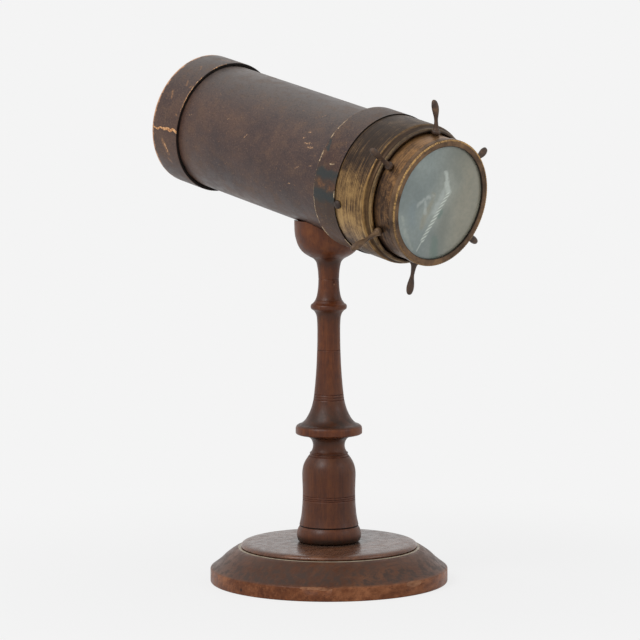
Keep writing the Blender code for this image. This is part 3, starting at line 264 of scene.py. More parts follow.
class Recipe:
    """The node tree of one finish, and the colour that it has reached."""

    def __init__(self, name):
        self.material = bpy.data.materials.new(name)
        self.material.use_nodes = True
        self.tree = self.material.node_tree
        self.shader = self.tree.nodes["Principled BSDF"]
        self.place = self.node("TexCoord", output="Object")
        self.color = None

    def plug(self, socket, value):
        if isinstance(value, bpy.types.NodeSocket):
            self.tree.links.new(value, socket)
        elif socket.type == "RGBA":
            socket.default_value = (*value, 1.0)
        else:
            socket.default_value = value

    def node(self, kind, inputs=(), output=0, **settings):
        made = self.tree.nodes.new("ShaderNode" + kind)
        for key, value in settings.items():
            setattr(made, key, value)
        for key, value in dict(inputs).items():
            self.plug(made.inputs[key], value)
        return made.outputs[output]

    def math(self, what, first, second=0.0, clamp=False):
        return self.node("Math", {0: first, 1: second}, operation=what, use_clamp=clamp)

    def plus(self, first, second):
        return self.math("ADD", first, second)

    def less(self, first, second):
        return self.math("SUBTRACT", first, second)

    def times(self, first, second):
        return self.math("MULTIPLY", first, second)

    def most(self, first, second):
        return self.math("MAXIMUM", first, second)

    def size(self, value):
        return self.math("ABSOLUTE", value)

    def reach(self, across, up):
        """Length of the slope over two sides."""
        return self.math("POWER", self.plus(self.times(across, across), self.times(up, up)), 0.5)

    def arrows(self, what, first, second=(0, 0, 0), output="Vector"):
        """Sums with vectors; SCALE takes a number as the second."""
        return self.node("VectorMath", {0: first, "Scale" if what == "SCALE" else 1: second},
                         output, operation=what)

    def axes(self, vector):
        split = self.tree.nodes.new("ShaderNodeSeparateXYZ")
        self.plug(split.inputs[0], vector)
        return tuple(split.outputs)

    def mapped(self, scale=(1, 1, 1), location=(0, 0, 0), rotation=(0, 0, 0), kind="POINT",
               vector=None):
        return self.node("Mapping", {"Vector": vector or self.place, "Scale": scale,
                                     "Location": location, "Rotation": rotation},
                         vector_type=kind)

    def noise(self, vector, scale, detail=3.0, rough=0.55, warp=0.0):
        return self.node("TexNoise", {"Vector": vector, "Scale": scale, "Detail": detail,
                                      "Roughness": rough, "Distortion": warp})

    def fit(self, value, low, high, to_low=0.0, to_high=1.0, soft=True):
        """Spreads the span from low to high over a new span, flat beyond it."""
        return self.node("MapRange", {"Value": value, "From Min": low, "From Max": high,
                                      "To Min": to_low, "To Max": to_high},
                         interpolation_type="SMOOTHSTEP" if soft else "LINEAR")

    def ramp(self, value, *stops):
        """Stops of a paint chart's colour, or of a plain number."""
        made = self.tree.nodes.new("ShaderNodeValToRGB")
        self.plug(made.inputs["Fac"], value)
        points = made.color_ramp.elements
        while len(points) < len(stops):
            points.new(1.0)
        for point, (position, tone) in zip(points, stops):
            point.position = position
            point.color = (*(shade(*tone) if isinstance(tone, tuple) else (tone,) * 3), 1.0)
        return made.outputs["Color"]

    def blend(self, share, first, second):
        made = self.tree.nodes.new("ShaderNodeMix")
        made.data_type = "RGBA"
        for index, value in ((0, share), (6, first), (7, second)):
            self.plug(made.inputs[index], value)
        return made.outputs[2]

    def over(self, share, tone):
        """Lays a share of a tone over the colour so far."""
        if isinstance(tone, tuple):
            tone = shade(*tone)
        self.color = self.blend(share, self.color, tone)

    def relief(self, height, depth, strength=0.6):
        """Bump whose height of one stands for a depth in millimetres."""
        normal = self.node("Bump", {"Height": height, "Distance": depth * MM,
                                    "Strength": strength})
        self.plug(self.shader.inputs["Normal"], normal)

    def finish(self, **sockets):
        """Plugs the colour and the named values into the shader."""
        for key, value in {"Base_Color": self.color, **sockets}.items():
            self.plug(self.shader.inputs[key.replace("_", " ")], value)
        print(self.material.name, "takes", len(self.tree.nodes), "nodes")
        return self.material

    def on_barrel(self):
        """Adds the barrel's own point, angle from the top, station and radius."""
        self.point = self.mapped(location=tuple(BARREL.translation),
                                 rotation=tuple(BARREL.to_euler()), kind="TEXTURE")
        across, up, self.station = self.axes(self.point)
        self.angle = self.math("ARCTAN2", self.times(across, -1.0), up)
        self.radius = self.reach(across, up)
        return self


# %% [markdown]
# Dressing a piece is three things at once: its finish, the body that it rides on, and
# the plain node that it stands for. A plain node whose shape is right already only gets
# a better finish. The simplest finish serves the plain stuffs: one noise, a ramp that
# colours it, and sometimes a relief of the same noise.

# %% Dressing helpers
STAND = "stand_and_barrel"
BOX = "object_box"


def dress(piece, material, body, slot, *nodes):
    """Gives a piece its finish, the body it rides on and the nodes it stands for."""
    piece.data.materials.clear()
    piece.data.materials.append(material)
    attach(piece, body)
    if nodes:
        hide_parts(*nodes)


def paint_nodes(material, *names):
    """Plain nodes whose shape is right keep their meshes."""
    for name in names:
        for slot in frame["nodes"][name].material_slots:
            slot.material = material


def simple_finish(name, noise, *stops, stretch=None, relief=None, gloss=None, **sockets):
    """One noise, a ramp from it, a relief of it and its spread of roughness."""
    mix = Recipe(name)
    grain = mix.noise(mix.mapped(scale=stretch) if stretch else mix.place, *noise)
    mix.color = mix.ramp(grain, *stops)
    if relief:
        mix.relief(grain, *relief)
    if gloss:
        sockets["Roughness"] = mix.fit(grain, 0.3, 0.7, *gloss)
    return mix.finish(**sockets)


# %% [markdown]
# ## The wood
#
# The pedestal is a close-grained reddish wood with a worn wax polish. Its colour comes
# from four layers: broad warm and cool clouds, fine dark pores drawn out along the
# grain, a mottle where the stain took unevenly, and soil with painted shade in it: brown
# grime in the coves where a cloth never reaches, and painted shade under the swellings
# and the cup, and round the foot. The grain of the column runs up its length. The base
# is a flat board, so there it runs across.


# %% Wood recipe
def wood_finish(name, grain, tones, soil_and_shade_of, soil_and_shade_tone, gloss=0.36, depth=0.09, polish=0.14):
    """Wood with its grain drawn out along the axis whose scale is small."""
    mix = Recipe(name)
    low, middle, high = tones
    along = mix.mapped(scale=grain)
    clouds = mix.noise(along, 70.0, 4.0, 0.6)
    mottle = mix.noise(mix.place, 190.0, 4.0, 0.65)
    streaks = mix.noise(along, 520.0, 4.0, 0.65)
    pores = mix.noise(along, 1700.0, 3.0, 0.6)
    mix.color = mix.ramp(mix.plus(mix.times(clouds, 0.6), mix.times(mottle, 0.4)),
                         (0.38, low), (0.50, middle), (0.62, high))
    mix.over(mix.fit(streaks, 0.50, 0.66, 0.0, 0.35), low)
    mix.over(mix.fit(streaks, 0.36, 0.50, 0.32, 0.0), high)
    mix.over(mix.fit(pores, 0.54, 0.70, 0.0, 0.50), (44, 20, 12))
    # The soil share is grime, with painted shade under the column's swellings and round the
    # disc's foot.
    mix.over(mix.math("MULTIPLY", soil_and_shade_of(mix), mix.fit(mottle, 0.36, 0.62, 0.70, 1.15),
                      clamp=True), soil_and_shade_tone)
    mix.relief(mix.plus(mix.times(streaks, 0.5), mix.times(pores, -0.5)), depth)
    rough = mix.plus(mix.fit(mottle, 0.35, 0.65, gloss - 0.06, gloss + 0.08),
                     mix.fit(pores, 0.3, 0.7, -0.03, 0.05))
    mix.finish(Roughness=rough, Specular_IOR_Level=polish)
    return mix


# %% [markdown]
# Soil and painted shade go by place. On the column a ramp over the height says how much
# lies at each height: grime in the coves, and painted shade under the foot, the flange,
# the bead and the cup. On the base soil covers the slope, and on the disc soil lies over
# the flat top, with painted shade round the foot.

# %% Where the soil and painted shade lie
def height_of(mix):
    return mix.axes(mix.place)[2]


def from_axis(mix):
    """Distance from the middle of the stand."""
    across, up, _ = mix.axes(mix.place)
    return mix.reach(across, up)


def column_soil_and_shade(mix):
    """Shares of soil and painted shade by height; the stops are in millimetres. The painted shade
    lies under the foot, the flange, the bead and the cup.
    """
    reach = 250
    share = mix.fit(height_of(mix), 0.0, reach * MM, soft=False)
    return mix.ramp(share, *((at / reach, value) for at, value in (
        (26, 1.00), (29, 1.00), (32, 0.22), (40, 0.28), (48, 0.34), (66, 0.28), (78, 0.42),
        (86, 0.50), (91, 0.34), (96, 0.80), (98, 0.35), (99, 0.10), (103.5, 0.04),
        (105.2, 0.95), (110, 0.80), (117, 0.62), (127, 0.28), (150, 0.06), (172, 0.16),
        (180, 0.62), (183, 0.10), (187, 0.12), (189, 0.42), (196, 0.10), (209, 0.20),
        (214, 0.72), (220, 0.16), (238, 0.06))))


def base_soil(mix):
    """Soil on the slope, and hardly any on the upright band round the edge."""
    height = height_of(mix)
    return mix.plus(mix.fit(height, 8.4 * MM, 10.5 * MM, 0.03, 0.86),
                    mix.fit(height, 15 * MM, 22 * MM, 0.0, -0.12))


def step_soil_and_shade(mix):
    """Soil over the flat top, with painted shade round the foot, and least at the handled edge.
    """
    return mix.plus(mix.fit(height_of(mix), 25.0 * MM, 26.2 * MM, 0.20, 0.50),
                    mix.fit(from_axis(mix), 21 * MM, 29 * MM, 0.45, 0.0))


column_wood = wood_finish(
    "column_wood", (1.0, 1.0, 0.05), ((74, 35, 17), (93, 47, 21), (115, 64, 31)),
    column_soil_and_shade, (48, 31, 22), 0.40, polish=0.28).material
step_wood = wood_finish(
    "step_wood", (0.06, 0.8, 1.0), ((74, 43, 28), (94, 56, 36), (130, 84, 56)),
    step_soil_and_shade, (70, 54, 45), 0.25, 0.010, 0.42).material

# %% [markdown]
# Two marks belong to the base alone: a thin pale line painted into the corner all round
# the disc, and one dark knock low on the band.

# %% Pale line and knock
base = wood_finish(
    "base_wood", (0.05, 0.7, 0.7), ((84, 46, 27), (110, 64, 38), (146, 94, 62)),
    base_soil, (68, 53, 46))
PALE_RING = 59.80 * MM
KNOCK = (-79.3 * MM, -0.7 * MM, 3.4 * MM)
pale_breaks = base.noise(base.place, 150.0, 3.0)
pale_line = base.times(base.fit(base.size(base.less(from_axis(base), PALE_RING)), 0.6 * MM, 1.1 * MM,
                          0.95, 0.0), base.fit(pale_breaks, 0.35, 0.6, 0.70, 1.0))
base.over(pale_line, (170, 158, 138))
knock_gap = base.arrows("DISTANCE", base.place, KNOCK, "Value")
base.over(base.fit(knock_gap, 0.6 * MM, 1.5 * MM, 0.85, 0.0), (40, 26, 22))
base_wood = base.finish()

# %% [markdown]
# Where the wood is chipped its inside shows, paler and without polish, and old dirt has
# gone dark in the fine turned lines.

# %% Bare wood and line dirt
bare_wood = simple_finish("bare_wood", (500.0, 4.0), (0.3, (114, 74, 51)), (0.7, (152, 108, 79)),
                          stretch=(0.3, 1, 1), relief=(0.15, 0.7), Roughness=0.7,
                          Specular_IOR_Level=0.2)
line_dirt, groove_dirt = (
    simple_finish(name, (240.0, 3.0), (0.35, darker), (0.65, lighter), Roughness=0.6,
                  Specular_IOR_Level=0.2)
    for name, darker, lighter in (("line_dirt", (52, 26, 16), (92, 50, 32)),
                                  ("groove_dirt", (24, 11, 7), (40, 20, 13))))


def dirty_lines(piece, heights, material, half_width):
    """The faces inside the fine lines get a second finish."""
    piece.data.materials.append(material)
    index = len(piece.data.materials) - 1
    for face in piece.data.polygons:
        if any(abs(face.center.z - height * MM) < half_width * MM for height in heights):
            face.material_index = index


# %% [markdown]
# ## The base
#
# The base is one board, turned to an upright band and a slope that swells a little, and
# a thin disc lies on it. Chips in the upper edge of the band are scooped out with a
# flattened ball, which hands its own bare wood to the hollow.

# %% Turn the base and its step disc
BAND = 79.3
TENON, SOCKET = 9.0, 9.3
base_slope = flow(mm((59.8, 22.9), (61.0, 22.6), (62.6, 22.0), (64.4, 20.9), (67.2, 19.0),
                     (69.7, 17.0), (71.9, 14.9), (74.2, 12.9), (76.8, 10.9), (79.0, 9.3)))
base_outline = (mm((0.0, 12.3), (SOCKET, 12.3), (SOCKET, 22.9)) + base_slope
                + mm((BAND, 8.7), (BAND, 0.5), (78.9, 0.0), (0.0, 0.0)))
base_piece = lathe("turned_base", ease(base_outline, 0.5), 288)
dress(base_piece, base_wood, STAND, "walnut", "base_disc")

step_edge = flow(mm((52.0, 26.3), (54.8, 26.2), (57.0, 25.8), (58.3, 25.1), (58.8, 24.3),
                    (58.8, 23.6), (58.4, 23.2)), 4)
step_piece = lathe("turned_step", mm((SOCKET, 26.3)) + step_edge + mm((SOCKET, 23.2)), 240,
                   closed=True)
dress(step_piece, step_wood, STAND, "walnut", "base_step_disc")

# %% Chip the band's edge
base_piece.data.materials.append(bare_wood)
for turn, height, sizes in ((-140.5, 9.2, (0.8, 15.0, 1.4)), (-135.0, 8.2, (0.7, 5.0, 1.0)),
                            (-88.5, 8.4, (0.8, 8.0, 2.6))):
    scoop(base_piece, ball(turn, BAND, height, sizes, bare_wood, 24))

# %% [markdown]
# ## The pillar and the stem
#
# The column is turned in two lengths, so that it can be taken apart at the flange. The
# lower one has a round foot with a deep groove over it, a body like a bottle and a
# cove. The upper one rises from the flange to a small bead and opens into the cup.

# %% Turn the lower pillar
PILLAR_LINES = [57.9, 56.5, 55.2, 84.2]
pillar_neck = flow(mm((13.6, 96.8), (12.6, 96.2), (11.4, 94.6), (10.65, 92.2), (10.7, 90.0),
                      (11.3, 88.0), (12.2, 86.6)))
pillar_body = flow(mm((12.6, 85.3), (13.8, 83.8), (15.5, 81.2), (16.7, 78.7), (17.45, 76.0),
                      (17.85, 72.4), (17.75, 68.0), (17.55, 62.0), (17.55, 58.0), (17.7, 53.0),
                      (18.05, 48.0), (18.5, 44.0), (19.05, 41.0), (19.75, 38.0)))
pillar_foot = flow(mm((19.6, 37.1), (20.6, 35.4), (21.25, 33.4), (21.45, 31.2), (21.25, 29.2),
                      (20.6, 27.5), (19.6, 26.6)))
pillar_side = score(pillar_neck + mm((12.75, 86.4), (12.75, 85.9), (12.3, 85.7)) + pillar_body,
                    PILLAR_LINES, 0.25, 0.30)
pillar_outline = (mm((0.0, 109.8), (6.0, 109.8), (6.0, 96.8)) + pillar_side
                  + mm((18.9, 37.75), (18.9, 37.35)) + pillar_foot
                  + mm((TENON, 26.6), (TENON, 12.6), (0.0, 12.6)))
pillar_piece = lathe("turned_pillar", pillar_outline, 160, sharp=40)
dress(pillar_piece, column_wood, STAND, "walnut", "lower_pillar")
dirty_lines(pillar_piece, PILLAR_LINES, line_dirt, 0.22)
dirty_lines(pillar_piece, [37.55], groove_dirt, 0.42)

# %% Turn the stem
NECK_LINES, SHAFT_LINES = [202.4, 188.4], [155.1, 125.6, 123.8, 122.0]
cup_side = flow(mm((22.8, 241.4), (22.8, 238.0), (22.5, 232.5), (21.55, 228.2), (19.95, 224.0),
                   (17.35, 220.5), (13.7, 217.9), (10.5, 216.2), (8.6, 214.2), (7.85, 212.0),
                   (7.2, 208.0), (6.9, 203.5), (6.95, 199.0), (7.35, 194.5), (8.1, 190.6),
                   (9.1, 188.2), (10.3, 186.5)))
bead = flow(mm((10.9, 186.0), (11.7, 185.4), (12.05, 184.4), (12.0, 183.3), (11.5, 182.4),
               (10.7, 181.9)))
shaft = flow(mm((10.2, 181.5), (9.1, 180.2), (8.2, 178.0), (7.8, 175.0), (7.6, 170.0),
                (7.6, 164.0), (7.7, 158.0), (7.9, 152.0), (8.25, 144.0), (8.8, 136.0),
                (9.55, 128.0), (10.3, 122.0), (11.2, 118.0), (12.45, 114.3), (14.35, 110.4),
                (16.1, 107.9), (18.3, 106.0), (20.0, 105.2)))
flange = ease(mm((20.4, 105.2), (21.7, 104.3), (22.2, 102.9), (22.2, 99.4), (21.2, 98.7),
                 (13.5, 97.1), (6.3, 97.1)), 0.7)
stem_side = score(cup_side + bead + shaft, NECK_LINES + SHAFT_LINES, 0.22, 0.28)
stem_outline = mm((0.0, 241.4)) + stem_side + flange + mm((6.3, 110.1), (0.0, 110.1))
stem_piece = lathe("turned_stem", stem_outline, 160, sharp=40)
stem_piece.data.materials.append(column_wood)
dirty_lines(stem_piece, SHAFT_LINES, line_dirt, 0.22)

# %% [markdown]
# The cup is hollowed to the barrel. A cylinder of the barrel's size, laid on the
# barrel's line, is taken out of the blank. The blank ends where its side would run out
# to a feather edge. The two long screws that hold the barrel down need no holes here,
# because nothing shows of them.

# %% Hollow the cup
clear_bench()
bpy.ops.mesh.primitive_cylinder_add(vertices=256, radius=42.8 * MM, depth=130 * MM)
barrel_cutter = bpy.context.object
barrel_cutter.matrix_world = BARREL
barrel_cutter.data.materials.append(column_wood)
bpy.context.view_layer.update()
scoop(stem_piece, barrel_cutter)
settle(stem_piece, sharp=40)
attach(stem_piece, STAND)
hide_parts("upper_stem")

# %% [markdown]
# A pin once held the neck, and its hole shows at the front with a crumb of pale filler
# in it. The hole is scooped out with a small ball and the crumb is a smaller one,
# flattened a little.

# %% The pin hole in the neck
PIN_TURN, PIN_HEIGHT = -102.3, 199.8


def pin_ball(radius, out, lift, material):
    return ball(PIN_TURN, out, PIN_HEIGHT + lift, (radius * 0.8, radius, radius * 1.1),
                material, 20)


scoop(stem_piece, pin_ball(0.75, 6.9, 0.9, line_dirt))
settle(stem_piece, sharp=40)
crumb = pin_ball(0.62, 6.55, -0.7, bare_wood)
settle(crumb, crumb.matrix_world.copy())
crumb.name = crumb.data.name = "neck_filler"
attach(crumb, STAND)

# %% [markdown]
# ## Marks on the barrel
#
# Wear on the pasteboard is not spread evenly: there is one crack across the lid, a few
# scrapes, and pale lines where the edges have rubbed. Each is drawn as a pen stroke
# from one place to another on the unrolled surface, where the first number is the
# angle in degrees from the top and the second the station in millimetres. The third
# number is the stroke's half width. Noise bends the strokes and breaks them up, so
# that they look torn and not ruled.


# %% Strokes on the unrolled barrel
def shaken(mix, flat, wander, fineness):
    """A flat map with its places pushed about by noise, in millimetres."""
    shake = mix.node("TexNoise", {"Vector": mix.point, "Scale": fineness, "Detail": 4.0},
                     "Color")
    shake = mix.arrows("SCALE", mix.arrows("SUBTRACT", shake, (0.5, 0.5, 0.5)),
                       wander * 2 * MM)
    return mix.arrows("ADD", flat, shake)


def on_map(place, radius=None):
    """A place on the map: degrees and station, or without a radius millimetres both ways."""
    across = math.radians(place[0]) * radius if radius else place[0]
    return Vector((across * MM, place[1] * MM, 0))


def stroke(mix, flat, start, end, width, core=0.35):
    """One along a pen stroke on the map, zero at its sides."""
    run = end - start
    to_point = mix.arrows("SUBTRACT", flat, start)
    share = mix.arrows("DOT_PRODUCT", to_point, run / run.length_squared, "Value")
    share = mix.math("ADD", share, 0.0, clamp=True)
    foot = mix.arrows("SCALE", run, share)
    away = mix.arrows("LENGTH", mix.arrows("SUBTRACT", to_point, foot), output="Value")
    return mix.fit(away, width * core * MM, width * MM, 1.0, 0.0)


def strokes(mix, flat, table, radius=None, core=0.35):
    """Several strokes as one mask."""
    total = None
    for start, end, width in table:
        mask = stroke(mix, flat, on_map(start, radius), on_map(end, radius), width, core)
        total = mask if total is None else mix.most(total, mask)
    return total


def from_top(mix, low, high, to_low, to_high):
    """A share that goes by the turn from the top in degrees, the same on both sides."""
    return mix.fit(mix.size(mix.angle), math.radians(low), math.radians(high), to_low, to_high)


# %% [markdown]
# ## The covered tube
#
# Leatherette is strong paper, embossed and varnished to look like leather. After a
# century it is brown where hands have warmed it. Its top is painted blue grey, a painted
# reflection of the light from above. Its grain is two sizes of noise, one that goes dark
# in the hollows and one that goes tan where the varnish has worn off the top of the
# grain. The lid and the collar are covered in the same stuff, so the recipe takes the
# radius of the band and the wear, and they share the painted reflection on top.


# %% Recipe for varnished paper
def skin_finish(name, radius, wear):
    """Varnished paper on a band of this radius; wear adds tan to the grain."""
    mix = Recipe(name).on_barrel()
    flat = shaken(mix, mix.node("CombineXYZ", {"X": mix.times(mix.angle, radius * MM),
                                               "Y": mix.station}), 0.9, 300.0)
    clouds = mix.noise(mix.point, 34.0, 4.0, 0.62)
    mix.color = mix.ramp(clouds, (0.34, (60, 45, 43)), (0.50, (71, 53, 48)),
                         (0.66, (84, 62, 52)))
    # Painted reflection: the top of the band is painted blue grey, for the light from above.
    mix.over(from_top(mix, 12, 68, 0.64, 0.0), (100, 95, 91))
    patches = mix.noise(mix.point, 130.0, 5.0, 0.7)
    mix.over(mix.fit(patches, 0.50, 0.66, 0.0, 0.26 + wear), (106, 82, 64))
    mix.over(mix.fit(patches, 0.34, 0.46, 0.30, 0.0), (50, 42, 44))
    grain = mix.noise(mix.point, 900.0, 4.0, 0.7)
    mix.over(mix.fit(grain, 0.52, 0.68, 0.0, 0.36 + wear), (118, 94, 76))
    mix.over(mix.fit(grain, 0.34, 0.47, 0.50, 0.0), (40, 33, 34))
    flecks = mix.noise(mix.point, 560.0, 3.0, 0.6)
    mix.over(mix.fit(flecks, 0.66, 0.72, 0.0, 0.45 + wear), (140, 104, 74))
    rough = mix.fit(patches, 0.35, 0.65, 0.38, 0.52)
    bump = mix.plus(grain, mix.times(patches, 0.6))
    return mix, flat, rough, bump


# %% Leatherette and its scrapes
COVER = 42.5
skin, skin_flat, skin_rough, skin_bump = skin_finish("leatherette", COVER, 0.0)
skin_scrapes = strokes(skin, skin_flat, [
    ((64, 15.0), (62.5, 21.0), 0.9), ((60, 11.5), (60, 13.0), 0.8), ((54, 13.0), (53, 15.5), 0.6),
    ((67, 19.5), (66, 23.0), 1.0), ((88, 13.5), (86, 16.0), 0.6), ((82, 25.5), (81, 28.0), 0.6),
    ((104, 7.5), (103, 10.0), 0.5), ((75, -97.5), (74, -96.0), 0.7),
    ((77, -40.0), (74, -38.0), 0.5), ((67, -61.0), (66, -58.0), 0.5),
    ((35, 12.8), (31, 14.0), 0.5)], COVER)
skin_torn = skin.fit(skin.noise(skin.point, 1100.0, 3.0, 0.6), 0.46, 0.58)
skin.over(skin.times(skin_scrapes, skin_torn), (172, 134, 99))
skin.relief(skin_bump, 0.05, 0.8)
leatherette = skin.finish(Roughness=skin_rough, Specular_IOR_Level=0.34)

# %% Roll the cover
cover_outline = mm((COVER, 20), (COVER, -126), (41.5, -126), (41.5, 79.5), (COVER, 79.5),
                   (COVER, 20))
cover_piece = lathe("tube_cover", ease(cover_outline, 0.3), 256, BARREL)
dress(cover_piece, leatherette, STAND, "leatherette", "leatherette_cover")

# %% [markdown]
# ## The lid
#
# The lid is a band of pasteboard with a disc let into it, covered in the same paper but
# more worn. The covering has gone to tan board along the rear edge, and one crack runs
# across the band with torn lips and a painted shadow on both sides of it. The marks
# belong to the band alone, so they fade out towards the disc. The front edge of the band
# is painted near black, and shows as a dark ring against the tube.

# %% Lid finish: rub, crack and scuffs
LID = 45.0
paper, paper_flat, paper_rough, paper_bump = skin_finish("lid_paper", LID, 0.08)
paper_edge = paper.noise(paper.point, 330.0, 5.0, 0.7)
rear_rub = paper.fit(paper.plus(paper.station, paper.times(paper_edge, -7.0 * MM)),
                     -132.6 * MM, -131.2 * MM, 0.95, 0.0)
on_band = paper.fit(paper.radius, 43.2 * MM, 44.5 * MM)
paper.over(paper.times(rear_rub, on_band), (196, 148, 112))
CRACK = [((95.1, -129.4), (95.8, -124.5), 0.65), ((95.8, -124.5), (93.4, -120.5), 0.8),
         ((93.4, -120.5), (93.6, -117.5), 0.9), ((93.6, -117.5), (92.4, -114.0), 1.2),
         ((92.4, -114.0), (93.6, -111.0), 1.4), ((93.6, -111.0), (91.8, -108.0), 1.3),
         ((91.8, -108.0), (93.2, -104.0), 1.2)]
# Painted shadow: a dark band along both sides of the crack.
crack_shadow = strokes(paper, paper_flat, [
    (start, end, width * 1.9) for start, end, width in CRACK], LID)
paper.over(paper.times(crack_shadow, paper.times(on_band, 0.55)), (46, 34, 30))
paper_scuffs = strokes(paper, paper_flat, [
    ((104.5, -118.5), (116.0, -114.5), 2.4), ((122, -116), (124, -114), 1.6),
    ((78, -108.2), (79, -106.5), 0.9), ((52, -107.5), (50, -105.5), 1.0),
    ((5, -114), (1, -107), 1.3), ((27, -115.5), (30, -113.0), 1.2), ((47, -113), (51, -111), 1.2),
    ((60, -120), (66, -118), 1.4), ((-14, -118), (-20, -112), 1.5)], LID, 0.0)
paper_torn = paper.fit(paper.noise(paper.point, 900.0, 4.0, 0.7), 0.44, 0.60)
paper.over(paper.times(paper_scuffs, paper.plus(paper.times(paper_torn, 0.6), 0.25)),
           (158, 116, 80))

# %% Lid finish: torn lips
hairlines = paper.times(strokes(paper, paper_flat, [
    ((107.0, -117.0), (113.4, -114.4), 0.65), ((38.0, -104.5), (74.0, -104.5), 0.40),
    ((10.0, -104.4), (28.0, -104.4), 0.35)], LID), paper.fit(paper_torn, 0.0, 0.5, 0.35, 1.0))
torn_lips = paper.times(paper.most(strokes(paper, paper_flat, CRACK, LID, 0.5), hairlines),
                        on_band)
paper.over(torn_lips, paper.blend(paper_torn, shade(166, 110, 66), shade(226, 178, 128)))
paper.relief(paper.plus(paper_bump, paper.times(torn_lips, 2.0)), 0.06, 0.8)
lid_paper = paper.finish(Roughness=paper_rough, Specular_IOR_Level=0.30)
# Near-black finish for faces that look forwards: the lid's dark front edge, and a painted shadow
# on the collar's front edge.
black_edge_and_shadow = simple_finish("black_edge_and_shadow", (520.0, 4.0), (0.35, (18, 14, 12)),
                             (0.60, (28, 21, 18)), (0.80, (62, 46, 36)), relief=(0.1, 0.7),
                             Roughness=0.8, Specular_IOR_Level=0.2)


# %% Turn the lid
def blacken_front(piece, low, high):
    """Faces that look forwards, between two radii, get the near-black finish; on the collar it is
    a painted shadow.
    """
    piece.data.materials.append(black_edge_and_shadow)
    index = len(piece.data.materials) - 1
    middle = BARREL.translation
    for face in piece.data.polygons:
        spoke = face.center - middle
        radius = (spoke - FORWARD * spoke.dot(FORWARD)).length
        if face.normal.dot(FORWARD) > 0.45 and low * MM < radius < high * MM:
            face.material_index = index


lid_outline = mm((LID, -118), (LID, -129.3), (44.6, -129.6), (40.6, -129.6), (40.6, -129.0),
                 (42.8, -129.0), (42.8, -104.2), (LID, -104.2), (LID, -118))
lid_piece = lathe("lid_band_covered", ease(lid_outline, 0.5, 4), 256, BARREL)
dress(lid_piece, lid_paper, STAND, "lid_paper", "lid_band")
blacken_front(lid_piece, 42.0, 44.75)

face_outline = mm((42.3, -126.3), (42.3, -128.6), (27, -128.7), (11.3, -128.7),
                  (11.3, -126.3), (42.3, -126.3))
face_piece = lathe("lid_face", ease(face_outline, 0.3), 160, BARREL)
dress(face_piece, lid_paper, STAND, "lid_paper", "lid_disc")

# %% [markdown]
# ## The collar
#
# A second band of covered pasteboard hides the joint between the tube and the brass.
# Damp has turned its dye blue green in a few patches and left brown between them, and
# its rear edge is rubbed pale in short dashes. The patches have wandering outlines, so
# their strokes are drawn on a map that is shaken much more.

# %% Collar finish: damp
COLLAR = 47.0
damp, damp_flat, damp_rough, damp_bump = skin_finish("collar_paper", COLLAR, 0.14)
browned = damp.fit(damp.noise(damp.point, 260.0, 5.0, 0.7), 0.35, 0.6, 0.6, 1.0)
damp.over(damp.times(from_top(damp, 62, 118, 0.0, 0.70), browned), (82, 56, 38))
damp_wide = shaken(damp, damp_flat, 4.0, 170.0)
damp_wash = strokes(damp, damp_wide, [((96, 38), (112, 57), 22.0)], COLLAR, 0.3)
damp.over(damp.times(damp_wash, 0.40), (52, 54, 52))
damp_patches = strokes(damp, damp_wide, [
    ((82, 42), (82, 57), 4.6), ((100, 38), (99, 57), 6.6), ((56, 40), (62, 41), 2.6),
    ((-70, 40), (-78, 52), 5.0), ((168, 42), (172, 55), 4.0)], COLLAR, 0.25)
damp.over(damp.times(damp_patches, 0.80), (46, 54, 55))
damp_rust = strokes(damp, damp_wide, [((90, 42), (92, 46.5), 3.4), ((94, 52), (90, 56), 3.0)],
                    COLLAR, 0.0)
damp_speckle = damp.noise(damp.point, 520.0, 5.0, 0.75)
damp.over(damp.times(damp_rust, damp.fit(damp_speckle, 0.40, 0.62, 0.15, 0.85)), (116, 80, 54))
damp.over(damp.times(damp.fit(damp_speckle, 0.56, 0.66), from_top(damp, 96, 150, 0.10, 0.75)),
          (140, 112, 82))

# %% Collar finish: rubbed edges
damp_torn = damp.fit(damp.noise(damp.point, 700.0, 4.0, 0.7), 0.46, 0.58)
rubbed_rear = damp.fit(damp.station, 37.7 * MM, 38.2 * MM, 0.75, 0.0)
damp.over(damp.times(rubbed_rear, damp_torn), (158, 132, 102))
damp_marks = strokes(damp, damp_flat, [
    ((44, 38.0), (34, 38.1), 0.55), ((54, 38.0), (50, 38.0), 0.5), ((74, 38.0), (66, 38.1), 0.6),
    ((142, 38.2), (133, 38.0), 1.3), ((128, 37.9), (104, 37.9), 0.5),
    ((168, 55.8), (140, 57.2), 1.3), ((98, 57.1), (94, 57.2), 0.8),
    ((74, 48.0), (73, 52.0), 0.5)], COLLAR)
damp.over(damp.times(damp_marks, damp.fit(damp_torn, 0.0, 0.6, 0.3, 1.0)), (206, 180, 144))
damp.relief(damp_bump, 0.06, 0.8)
collar_paper = damp.finish(Roughness=damp.plus(damp_rough, 0.08), Specular_IOR_Level=0.18)

# %% Roll the collar
collar_outline = mm((COLLAR, 48), (COLLAR, 37.5), (42.8, 37.5), (42.8, 38.9), (46.6, 38.9),
                    (46.6, 57.5), (COLLAR, 57.5), (COLLAR, 48))
collar_piece = lathe("covered_collar", ease(collar_outline, 0.3), 256, BARREL)
dress(collar_piece, collar_paper, STAND, "collar_paper", "front_collar")
# The collar's front edge is painted black: a painted shadow where it stands proud of the sleeve.
blacken_front(collar_piece, 46.0, 47.3)

